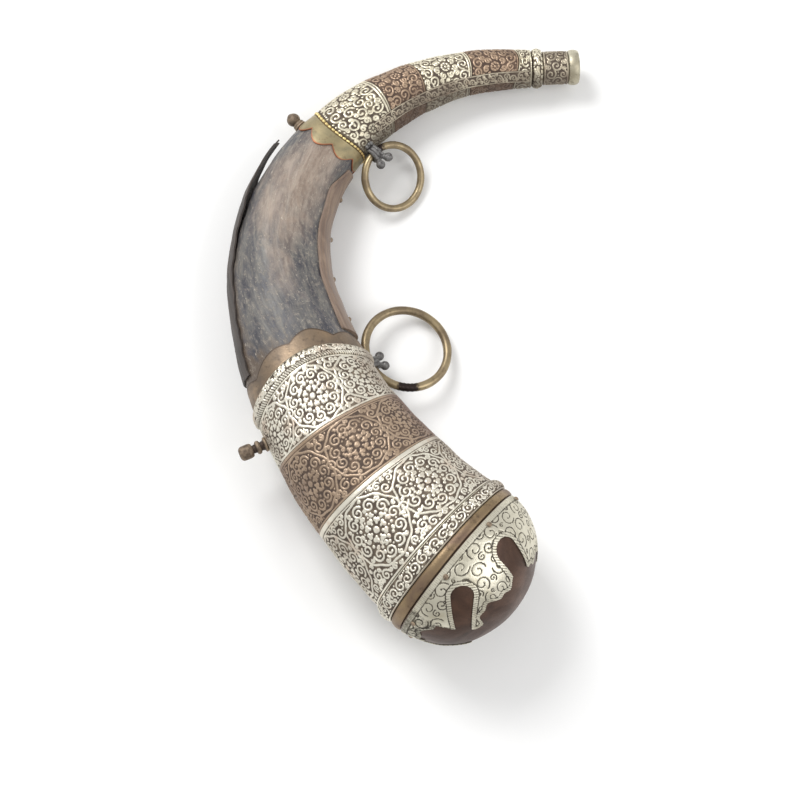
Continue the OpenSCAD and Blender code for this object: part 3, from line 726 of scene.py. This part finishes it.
INNER_MAT = strip_material("inner_strip", (0.57, 0.49, 0.42), (0.41, 0.335, 0.29), 0.42)
OUTER_MAT = strip_material("outer_strip", (0.30, 0.255, 0.225), (0.14, 0.125, 0.12), 0.5)
CAST_MAT = cast_material("cast_lug", (0.60, 0.595, 0.585), (0.25, 0.235, 0.235))
KNOB_MAT = cast_material("cast_knob", (0.60, 0.53, 0.45), (0.24, 0.19, 0.16))
RING_MAT = ring_material()


# ---- Wooden body and its strips ----

BODY_END_S = 283.0
SEAT_S = 0.3                       # where the body starts, past the plug's seam
BARE_FROM, BARE_TO = 124, 276      # stretch that no sleeve covers
WALL = 5.5
PASSAGE_R = 5.0
COLLAR_S, COLLAR_W = 114.8, 6.8
FERRULE_H = 12.0
BEADING_S, BEADING_W = 272.0, 2.0
GAP = 0.2                          # between neighbouring bands
OUTER_STRIP_END = 250.0
OUTER_STRIP_LIFT = 3.4


def shift_collar(th):
    return 2.5 * np.cos(np.radians(th)) + 10 * np.sin(np.radians(th)) ** 2


def shift_beading(th):
    return -5 * np.sin(np.radians(th)) ** 2


def shift_neck(th):
    return 3 * np.sin(np.radians(th)) ** 2


def cavity(s, th):
    """Inside of the wood: a wall's thickness in, narrowing to the passage."""
    k = ease((s - 228) / (BODY_END_S - 228))[..., None]
    c, h = spine(s)
    t = np.radians(th)
    bore = np.stack([c[..., 0] + PASSAGE_R * np.cos(t) * np.sin(h),
                     c[..., 1] - PASSAGE_R * np.cos(t) * np.cos(h), PASSAGE_R * np.sin(t)], -1)
    return lay(skin(s, th, -WALL) * (1 - k) + bore * k)


def flow_of(s, th):
    """Millimetres along and round the horn, for grain that follows it."""
    return np.stack([s, np.radians(th) * half_width(s) * 0.92, np.zeros(s.shape)], -1)


def blob(x, middle, size):
    return np.exp(-((x - middle) / size) ** 2)


def body_half(node, start):
    """Half of the wooden body, from th = start over 180 degrees, worn and rubbed where it is bare."""
    shown = np.arange(BARE_FROM, BARE_TO, PLAIN)
    s = np.concatenate([np.linspace(SEAT_S, BARE_FROM - 1, 24), shown, [BODY_END_S]])
    th = start + np.linspace(0, 180, 110)
    s, th = grid_of(s, th)
    p = flow_of(s, th)
    face = (s > BARE_FROM) & (s < BARE_TO)
    grooves = 0.10 * waves(p * (0.06, 1, 1), 2.2, 11) + 0.16 * waves(p, 16, 12)
    rubbed = (0.95 * blob(s, 246, 38) * blob(th, 88, 50) + 0.5 * blob(s, 200, 30) * blob(th, 95, 26)
              + 0.6 * blob(s, 205, 70) * blob(th, 250, 40))
    brown = (0.9 * blob(around(th, 168), 0, 24) * ease((225 - s) / 60)
             + 0.7 * blob(s, 134, 12) * blob(around(th, 120), 0, 50)
             + 0.8 * blob(around(th, 330), 0, 40))
    top = on_skin(s, th, np.where(face, grooves * 0.7, 0))
    obj = sheet(node, top, cavity(s, th), False, {"relief": rubbed, "stain_and_shade": brown, "flow": p})
    dress(obj, HORN_MAT, node)


def inner_strip():
    """Half-round strip over the inner edge, its outline curved to the collar and the beading."""
    s0 = COLLAR_S + COLLAR_W + FERRULE_H + 0.9
    s1 = BEADING_S - FERRULE_H - 0.9
    u, v = grid_of(np.linspace(0, 1, int((s1 - s0) / PLAIN)), np.linspace(-1, 1, 44))
    th = 37 * v * (1 + 0.02 * np.sin(u * 23)) * (1 - 0.42 * ease((u - 0.84) / 0.16))
    s = (s0 + shift_collar(th)) * (1 - u) + (s1 + shift_beading(th)) * u
    p = flow_of(s, th)
    crown = np.sqrt(np.clip(1 - v ** 2, 0, 1)) + 0.12 * waves(p, 14, 21) * (1 - v ** 4)
    groove = 0.35 * np.exp(-((np.abs(v) - 0.86) / 0.035) ** 2)
    top = on_skin(s, th, 1.05 + crown - groove)
    obj = sheet("inner_edge_strip", top, on_skin(s, th, 0.15), False, {"flow": p, "relief": crown})
    dress(obj, INNER_MAT, "inner_edge_strip")


def outer_strip():
    """Dark strip over the outer edge, torn and sprung away at its upper end."""
    s0, s1 = COLLAR_S + COLLAR_W + FERRULE_H + GAP, OUTER_STRIP_END
    u, v = grid_of(np.linspace(0, 1, int((s1 - s0) / PLAIN)), np.linspace(-1, 1, 36))
    s = s0 + (s1 - s0) * u
    torn = 1.6 * np.sin(v * 9) + 0.9 * np.sin(v * 23 + 1)
    s = s + torn * ease((s - s1 + 14) / 14)
    half = 26 * (1 - 0.7 * ease(1 - (s1 - s) / 30)) * (1 + 0.035 * np.sin(s / 3.3) + 0.03 * np.sin(s / 1.3))
    th = 180 + half * v
    rise = 0.4 + OUTER_STRIP_LIFT * ease((s - 170) / (s1 - 170))
    p = flow_of(s, th)
    rough = 0.12 * waves(p * (0.1, 1, 1), 2.4, 31) * (1 - v ** 6)
    obj = sheet("outer_edge_strip", on_skin(s, th, rise + 0.9 + rough), on_skin(s, th, rise), False,
                {"flow": p, "relief": rough})
    dress(obj, OUTER_MAT, "outer_edge_strip")


# ---- Dome ----

def dome_cap():
    """Copper cap with one shallow flattened patch."""
    rows, cols = ((90, 360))
    lat, th = grid_of(np.linspace(89, 0, rows), np.arange(cols) * 360 / cols)
    flat = -1.1 * np.exp(-((lat - 60) / 14) ** 2 - ((th - 150) / 30) ** 2)
    top = on_dome(lat, th, 0.8 + flat * 0.6)
    k = np.linspace(0, rows - 1, 10).astype(int)
    under = on_dome(lat[k], th[k], 0.1 + flat[k] * 0.3)
    poles = [top[0].mean(0), under[0].mean(0)]
    dress(sheet("dome_cap", top, under, True, {"relief": flat}, poles), COPPER_SHEET, "dome_cap")


LAT_MM = 0.68                      # millimetres to a degree of latitude
SEAM_MM = 0.75                     # millimetres to a degree round the seam
PATTERN_TURNS = 7                  # repeats of the foil's pattern round the dome
OPENING_R = 5.8
OPENING_AT = 69                    # place of the first upright opening
OPENING_STEP = 48.5
OPENING_STEPS = (-1, 0, 2, 3, 4, 5)    # the first is the tilted one
LOOSE_AT = 165                     # middle of the torn and darkened stretch


def foil_edge(lat, th):
    """Room inside the overlay's outline in millimetres, negative outside it."""
    per = np.cos(np.radians(lat)) * SEAM_MM
    edge = 50 + 4 * np.cos(np.radians(PATTERN_TURNS * (th - 92))) + 1.5 * np.cos(np.radians(21 * th))
    edge = edge - 31 * ease((20 - np.abs(around(th, LOOSE_AT))) / 5)
    room = (edge - lat) * LAT_MM
    for step in OPENING_STEPS:
        lean, lat0, size = (0.81, 25, OPENING_R) if step < 0 else (-0.12, 29, OPENING_R * 1.16)
        x, y = around(th, OPENING_AT - OPENING_STEP * step) * per, (lat - lat0) * LAT_MM
        along = x * lean + y * math.sqrt(1 - lean ** 2)
        across = x * math.sqrt(1 - lean ** 2) - y * lean
        sides = np.abs(across) - size * (1 - 0.012 * along)
        room = np.minimum(room, np.where(along > 0, sides, np.hypot(across, along) - size))
    return room


def onto_outline(lat, th, room, near):
    """Moves the points that are near the outline onto it, so that the edge is smooth."""
    e = 0.25
    per = np.cos(np.radians(lat)) * SEAM_MM
    g_lat = (foil_edge(lat + e, th) - foil_edge(lat - e, th)) / (2 * e * LAT_MM)
    g_th = (foil_edge(lat, th + e) - foil_edge(lat, th - e)) / (2 * e * per)
    size = np.maximum(g_lat ** 2 + g_th ** 2, 0.2)
    return (np.where(near, lat - np.clip(room * g_lat / size, -0.4, 0.4) / LAT_MM, lat),
            np.where(near, th - np.clip(room * g_th / size, -0.4, 0.4) / per, th))


def engraving(lat, th):
    """Fine scrolls cut into the foil, ticks along its outline, and hatching at the seam."""
    tile = Tile(34, 36, 8)
    for r, tries in ((4.2, 60), (3.0, 200), (2.1, 300), (1.3, 300)):
        tile.fill((r,), tries, 0.3, dots=False)
    room = foil_edge(lat, th)
    cut = tile.at(th / 360 * PATTERN_TURNS * tile.w, lat * LAT_MM)
    high = 1 - 0.98 * np.clip(cut * 2.0 - 0.4, 0, 1)
    tick = np.sin(th * 2.4 + lat * 2.2) * 0.5 + 0.5
    high = np.where(room < 2.2, np.where(tick > 0.3, 0.95, 0.1), high)
    high = np.where(np.abs(room - 2.5) < 0.35, 0.05, high)
    hatch = np.sin(th * 4.5) * 0.5 + 0.5
    high = np.where(lat < 5, 0.3 + 0.7 * hatch, high)
    high = np.where(np.abs(lat - 5.7) < 0.5, 0.15, high)
    return high * (1 - 0.55 * ease((20 - np.abs(around(th, LOOSE_AT))) / 3))


def dome_overlay():
    """Closed sheet of foil on the dome, wherever there is room inside its outline."""
    grid = FINE * 1.05
    lat_from, lat_to = 0.8, 60.0
    rows = int((lat_to - lat_from) * LAT_MM / grid)
    cols = int(girth(0) / grid)
    lat, th = np.linspace(lat_from, lat_to, rows), np.linspace(0, 360, cols)[:-1]
    lat, th = grid_of(lat, th)
    cols -= 1
    room = foil_edge(lat, th)
    nxt = np.roll(np.arange(cols), -1)
    cell = (room[:-1] + room[1:] + room[:-1][:, nxt] + room[1:][:, nxt]) / 4 > 0
    left, right = np.roll(cell, 1, axis=1), np.roll(cell, -1, axis=1)
    used, solid = np.zeros(room.shape, bool), np.ones(room.shape, bool)
    for di in (0, 1):
        for cells in (cell, left):
            used[di:di + rows - 1] |= cells
            solid[di:di + rows - 1] &= cells
    lat, th = onto_outline(lat, th, room, used & ~solid & (np.abs(room) < 1.5 * grid))
    high = engraving(lat, th)
    top, under = on_dome(lat, th, FOIL_TOP + 0.16 * (high - 1)), on_dome(lat, th, FOIL_UNDER)
    n = rows * cols
    i, j = np.nonzero(cell)
    a, b = i * cols + j, i * cols + nxt[j]
    c, d = (i + 1) * cols + nxt[j], (i + 1) * cols + j
    faces = [np.stack([a, b, c, d], -1), np.stack([d, c, b, a], -1) + n]
    up, down = np.zeros_like(cell), np.zeros_like(cell)
    up[1:] = cell[:-1]
    down[:-1] = cell[1:]
    for p, q, beyond in ((a, b, up), (b, c, right), (c, d, down), (d, a, left)):
        bare = ~beyond[i, j]
        faces.append(np.stack([q[bare], p[bare], p[bare] + n, q[bare] + n], -1))
    keep, index = np.unique(np.concatenate(faces), return_inverse=True)
    co = np.concatenate([top.reshape(-1, 3), under.reshape(-1, 3)])[keep]
    values = np.concatenate([high.ravel(), np.zeros(n)])[keep]
    obj = mesh_object("dome_overlay", co, index.reshape(-1, 4), None, {"relief": values})
    dress(obj, FOIL_MAT, "dome_overlay")


# ---- Bands ----

def lower_bands():
    """Brass band, scroll bead, the three sleeves and the collar, from the dome upwards."""
    band("base_brass_band", SEAT_S, 5.8, BRASS_MAT, lift=half_round(1.1), grid=0.6)
    bead = scroll_tile(32, 9.5, 5, (3.0, 2.3, 1.7, 1.2), flower=False)
    band("base_bead", 6.0, 14.3, SILVER_MAT, bead, 8, lift=half_round(1.9), relief=0.6)
    band("lower_sleeve_silver", 14.5, 55.8, SILVER_MAT, medallion_tile(33.6, 41.3, 2, 2.6, 1.6), 7, 6.3)
    band("lower_sleeve_copper", 56.0, 90.8, COPPER_MAT, medallion_tile(30.4, 34.8, 3, 1.6, 0.8), 7, -14.9)
    band("collar_sleeve_silver", 91.0, 114.6, SILVER_MAT, medallion_tile(28.3, 29.5, 4), 7, -22.9,
         to_shift=shift_collar)
    collar = Tile(36, 9.0, 6)
    for k in range(12):
        collar.curl(3 * k + 1.5, 4.6 + 0.5 * (k % 2), 1.5, 1.5 * k, 1 if k % 2 else -1)
    strand = np.linspace(0, 2.2, 8)
    for k in range(24):
        collar.stroke(1.5 * k + strand * 0.6, 0.3 + strand, 0.42)
    collar.line(8.7, 0.3)
    collar.fill((1.2, 0.9))
    band("lower_collar", COLLAR_S, COLLAR_S + COLLAR_W, SILVER_MAT, collar, 6, lift=half_round(1.5),
         relief=0.6, from_shift=shift_collar, to_shift=shift_collar)


def lobes(th, cusp, depth):
    """Eight round lobes with a cusp at the given angle."""
    return depth * np.abs(np.sin(np.radians(4 * (th - cusp))))


def ferrules():
    """The scalloped plates above the collar and below the beading, and the gilt beading."""
    s0 = COLLAR_S + COLLAR_W + GAP

    def lower_edge(th):
        return shift_collar(th) - 5.5 + lobes(th, 55, 3.8) + 0.4 * np.sin(np.radians(5 * th))

    band("lower_ferrule", s0, s0 + FERRULE_H, PLATE_MAT, from_shift=shift_collar, to_shift=lower_edge,
         edge_at=lambda s, th: s0 + FERRULE_H + lower_edge(th) - s)
    s1 = BEADING_S - GAP

    def upper_edge(th):
        return shift_beading(th) + 6 - lobes(th, 76, 5)

    band("upper_ferrule", s1 - FERRULE_H, s1, UPPER_PLATE_MAT, from_shift=upper_edge,
         to_shift=shift_beading, edge_at=lambda s, th: s - (s1 - FERRULE_H + upper_edge(th)))
    beads = Tile(2.4, 2.6)
    beads.stroke(1.2, 1.3, 1.15)
    band("upper_beading", BEADING_S, BEADING_S + BEADING_W, GILT_BEADS, beads, 46, relief=0.85,
         lift=half_round(0.1), from_shift=shift_beading, to_shift=shift_beading)


def neck_bands():
    """Five sleeves on the neck, silver and copper in turn."""
    widths = (26, 23.5, 28.5, 26)
    kinds = (("neck_sleeve_silver_1", NECK_SILVER), ("neck_sleeve_copper_1", NECK_COPPER),
             ("neck_sleeve_silver_2", NECK_SILVER), ("neck_sleeve_copper_2", NECK_COPPER))
    s = BEADING_S + BEADING_W + GAP
    for k, (node, material) in enumerate(kinds):
        lines = (-0.4, -1.6) if k in (0, 2) else (-0.4,)
        around_mm = girth(s + widths[k] / 2) / 4
        tile = scroll_tile(around_mm, widths[k], 40 + k, lines=lines)
        band(node, s, s + widths[k] - GAP, material, tile, 4, 20.0 * k,
             from_shift=shift_beading if k == 0 else shift_neck, to_shift=shift_neck)
        s += widths[k]
    tile = scroll_tile(girth(s + 5) / 2, NECK_END_S + 0.6 - s, 47, flower=False)
    band("neck_sleeve_silver_3", s, NECK_END_S + 0.6, NECK_SILVER, tile, 2, from_shift=shift_neck)


SEAM_AT = 41                       # degrees round the neck
SEAM_W = 6


def seam_strip():
    """Narrow strip of scrolls over the neck sleeves' seam."""
    s0, s1 = BEADING_S + 16, NECK_END_S - 1
    u, v = np.linspace(0, 1, int((s1 - s0) / FINE)), np.linspace(-1, 1, int(SEAM_W / FINE))
    u, v = grid_of(u, v)
    s = s0 + (s1 - s0) * u
    th = SEAM_AT + np.degrees(SEAM_W / 2 / half_width(s)) * v
    tile = Tile(24, SEAM_W, 9)
    for x in (0.0, 4.0, 8.0, 12.0, 16.0, 20.0):
        tile.curl(x + 2, 3 + (0.5 if x % 8 else -0.5), 1.8, x, 1 if x % 8 else -1, line=0.36)
    tile.line(0.35, 0.3)
    tile.line(5.65, 0.3)
    tile.fill((1.2, 0.8))
    high = tile.at(s - s0, (v + 1) * SEAM_W / 2)
    # Painted shadow: the strip gets the darker silver and a constant shade value all over.
    obj = sheet("neck_seam_strip", on_skin(s, th, FOIL_TOP - 0.1 + 0.3 * (high - 0.5)),
                on_skin(s, th, FOIL_UNDER), False, {"relief": high, "stain_and_shade": np.full(high.shape, 0.45)})
    dress(obj, SILVER_DARK, "neck_seam_strip")


def spout():
    """Bead, sleeve and rim on the spout's tube."""
    bead_s, rim_s = TIP_S - 26, TIP_S - 6
    bead = Tile(24, 8, 12)
    for x in np.arange(0, 24, 3.0):
        bead.curl(x + 1.5, 4.0, 1.3, x, line=0.4)
    bead.fill((0.9,))
    band("spout_bead", bead_s, bead_s + 6, NECK_SILVER, bead, 2.5, lift=half_round(2.4), relief=0.45,
         radius=8.2)
    band("spout_sleeve", bead_s + 6.2, rim_s - GAP, SILVER_DARK, scroll_tile(27, 13.6, 14, flower=False), 2,
         radius=8.85)
    band("spout_rim", rim_s, TIP_S, STEEL_MAT, lift=half_round(1.3), grid=0.4, radius=8.3)


# ---- Knobs, lugs, rings and nails ----

NAIL_R = 1.3


def knob(node, s, length, r, power=1.0):
    """Turned knob with a round head, or a blunt one where power is below 1."""
    stem, neck = 0.6 * r, length - 1.7 * r
    prof = [(0, 0.4), (0, r * 0.92), (0.5, r), (1.1, r * 0.96), (1.6, stem * 1.15), (neck * 0.32, stem)]
    for a in np.linspace(-90, 90, 9):
        prof.append((neck * 0.55 + 0.34 * r * math.sin(math.radians(a)),
                     stem + 0.32 * r * math.cos(math.radians(a))))
    prof.append((length - 1.85 * r, stem * 0.94))
    for a in np.radians(np.linspace(-52, 66, 16)):
        across = math.copysign(abs(math.sin(a)) ** power, a)
        prof.append((length - r + r * max(across, -0.84), r * math.cos(a) ** power))
    prof += [(length - 0.02 * r, 0.36 * r), (length, 0.3 * r), (length - 0.1, 0.1)]
    co, quads, tris = lathe(prof, 64, 0.05)
    obj = mesh_object(node, placed(co, stand(s, 180, 0.9)), quads, tris)
    dress(obj, KNOB_MAT, node)


def join_parts(parts):
    """One mesh from (points, quads, triangles) lists."""
    co, quads, tris, n = [], [], [], 0
    for c, q, t in parts:
        co.append(c)
        quads.append(q + n)
        tris.append(t + n)
        n += len(c)
    return np.concatenate(co), np.concatenate(quads), np.concatenate(tris)


def ball(x, y, z, r):
    """Lump of a casting, to be melted together with others."""
    a = np.radians(np.linspace(-86, 86, 13))
    c, q, t = lathe([(r * math.sin(k), r * math.cos(k)) for k in a], 20)
    return c + (x, y, z), q, t


def hoop(n, m):
    """Angles along and round a closed tube, and its faces."""
    a, b = grid_of(np.arange(n) * 2 * math.pi / n, np.arange(m) * 2 * math.pi / m)
    return a, b, rows_of_quads(n + 1, m, 0, True) % (n * m)


def eye_torus(y, pitch, wire, squash=1.0):
    """Torus round Y, at a place along it."""
    a, b, quads = hoop(96, 24)
    r = pitch + wire * np.cos(b)
    co = np.stack([r * np.cos(a), wire * squash * np.sin(b) + y, -r * np.sin(a)], -1).reshape(-1, 3)
    return co, quads, np.zeros((0, 3), int)


def lug(node, at, eye_r, drop):
    """Cast lug: an eye of three beaded rings, a leafy foot, and two knobbed tips."""
    pitch, reach = eye_r + 1.15, eye_r + 1.0
    parts = [eye_torus(0, pitch, 1.13, 1.25), eye_torus(-1.7, pitch, 1.1), eye_torus(1.7, pitch, 1.1)]
    foot = ((-drop - 0.4, 0, 3.1, 1.5), (-drop - 0.3, 1.5, 5.1, 1.2), (-drop - 0.3, -1.5, 5.1, 1.2),
            (-drop - 0.2, 0, 6.1, 1.0), (-drop - 0.2, 0, 1.2, 1.6), (-drop * 0.8, 0, 2.6, 1.3))
    tip = ((0.0, 1.9), (1.0, 1.75), (2.0, 1.6), (2.9, 1.75), (3.7, 1.65), (4.6, 2.45), (5.9, 1.4))
    for side in (-1, 1):
        parts += [ball(x, y, side * z, r) for x, y, z, r in foot]
    for side in (-1, 1):
        lean = math.radians(24) * side
        for d, r in tip:
            parts.append(ball(reach - 0.2 + d * math.cos(lean), side * 1.1 + d * math.sin(lean), 0, r))
        for z in (-1, 1):
            parts.append(ball(reach + 0.5, side * 1.9, z * 1.6, 1.1))
            parts.append(ball(reach - 1.2, side * 2.1, z * 2.8, 1.0))
    co, quads, tris = join_parts(parts)
    obj = mesh_object(node, co, quads, tris)
    remesh = obj.modifiers.new("remesh", "REMESH")
    remesh.mode = "VOXEL"
    remesh.voxel_size = 0.16
    smooth = obj.modifiers.new("smooth", "SMOOTH")
    smooth.factor, smooth.iterations = 0.5, 3
    evaluated = obj.evaluated_get(bpy.context.evaluated_depsgraph_get())
    mesh = bpy.data.meshes.new_from_object(evaluated)
    obj.modifiers.clear()
    obj.data = mesh
    mesh.transform(stand(*at))
    mesh.polygons.foreach_set("use_smooth", np.ones(len(mesh.polygons), bool))
    mesh.update()
    dress(obj, CAST_MAT, node)


def ring(node, body, at, pitch, wire, raised, joint_at):
    """Ring of hand-drawn wire, a little flat in places and lumpy where it is soldered."""
    a, b, quads = hoop(360, 40)
    gap = np.abs((a - math.radians(joint_at) + math.pi) % (2 * math.pi) - math.pi)
    joint = ease(1 - gap / 0.42)
    w = wire * (1 + 0.02 * np.sin(3 * a + 1) + 0.015 * np.sin(11 * a) - 0.04 * joint
                + 0.05 * joint * np.sin(a * 60) * np.cos(2 * b))
    r = pitch * (1 + 0.006 * np.cos(2 * a + 0.7)) + w * np.cos(b)
    co = np.stack([pitch + r * np.cos(a), r * np.sin(a), w * np.sin(b)], -1).reshape(-1, 3)
    tilt = np.array(Matrix.Rotation(-math.radians(raised), 3, "Y"))
    obj = mesh_object(node, placed(co @ tilt.T, stand(*at)), quads, None, {"relief": joint.ravel()})
    dress(obj, RING_MAT, node, body)


def nails(node, places):
    """Domed nail heads, each a little uneven."""
    rng = np.random.default_rng(17)
    r = NAIL_R
    prof = [(-0.15, 0.1), (-0.15, r), (0.15, r * 1.02), (0.45, r * 0.86), (0.75, r * 0.55), (0.88, r * 0.2)]
    parts = []
    for s, th, off in places:
        co, q, t = lathe([(x, k * rng.uniform(0.93, 1.05)) for x, k in prof], 24, 0.04, int(s) + 5)
        parts.append((placed(co, stand(s, th, off)), q, t))
    co, quads, tris = join_parts(parts)
    dress(mesh_object(node, co, quads, tris), KNOB_MAT, node)


# ---- Stage ----

LIGHT_AIM = (0, 0, 0.02)
CAMERA_AT = (-0.0537, -0.2911, 1.1459)
CAMERA_AIM = (-0.0028, -0.0361, 0.0256)
CAMERA_LENS = 99.5
FLOOR_HALF = 3.0


def floor():
    half = FLOOR_HALF
    mesh = bpy.data.meshes.new("floor")
    corners = [(-half, -half, 0), (half, -half, 0), (half, half, 0), (-half, half, 0)]
    mesh.from_pydata(corners, [], [(0, 1, 2, 3)])
    obj = add_object("floor", mesh)
    sh = Shader("floor", roughness=0.9, specular=0.1)
    tone = sh.noise(3, 2)
    sh.set("Base Color", sh.mix(tone, rgb(0.955, 0.955, 0.95), rgb(0.965, 0.965, 0.965)))
    mesh.materials.append(sh.mat)


def area_light(name, at, size, power):
    data = bpy.data.lights.new(name, "AREA")
    data.shape, data.size, data.energy = "SQUARE", size, power
    obj = add_object(name, data)
    obj.location = at
    obj.rotation_euler = (Vector(LIGHT_AIM) - Vector(at)).to_track_quat("-Z", "Y").to_euler()


def studio():
    world = bpy.data.worlds.new("studio")
    world.use_nodes = True
    world.node_tree.nodes["Background"].inputs["Color"].default_value = (1, 1, 1, 1)
    world.node_tree.nodes["Background"].inputs["Strength"].default_value = 0.62
    bpy.context.scene.world = world
    area_light("key", (-0.7, 0.75, 1.1), 0.7, 16)
    area_light("fill", (0.9, -0.3, 1.0), 0.9, 7)
    bpy.context.scene.view_settings.view_transform = "Standard"


def camera():
    data = bpy.data.cameras.new("camera")
    data.sensor_width, data.lens = 36, CAMERA_LENS
    obj = add_object("camera", data)
    at, aim = Vector(CAMERA_AT), Vector(CAMERA_AIM)
    forward = (aim - at).normalized()
    right = forward.cross(Vector((0, 1, 0))).normalized()
    up = right.cross(forward)
    obj.matrix_world = Matrix.Translation(at) @ Matrix((right, up, -forward)).transposed().to_4x4()
    bpy.context.scene.camera = obj


# ---- Build ----

camera()
studio()
floor()
body_half("body_half_front", 0)
body_half("body_half_back", 180)
inner_strip()
outer_strip()
dome_cap()
dome_overlay()
lower_bands()
ferrules()
neck_bands()
seam_strip()
spout()
knob("lower_knob", 104, 15.0, 3.9, power=0.55)
knob("upper_knob", 264, 9.5, 3.6)
lug("lower_lug", LOWER_LUG, 2.75, 2.95)
lug("upper_lug", UPPER_LUG, 2.5, 2.8)
ring("lower_ring", "lower_ring_body", LOWER_LUG, 22.3, 2.25, 14, 241)
ring("upper_ring", "upper_ring_body", UPPER_LUG, 17.0, 2.0, -43, 172)
nails("strip_nails", [(s, 0, 2.25) for s in (150, 180, 210, 240)])
nails("dome_nails", [(-4, (i + 0.5) * 45, 1.65) for i in range(8)])
for kept_node, kept_material in (("neck_half_front", HORN_MAT), ("neck_half_back", HORN_MAT),
                                 ("base_plug", HORN_MAT), ("spout_tube", BRASS_MAT)):
    slots = frame["nodes"][kept_node].data.materials
    slots.clear()
    slots.append(kept_material)
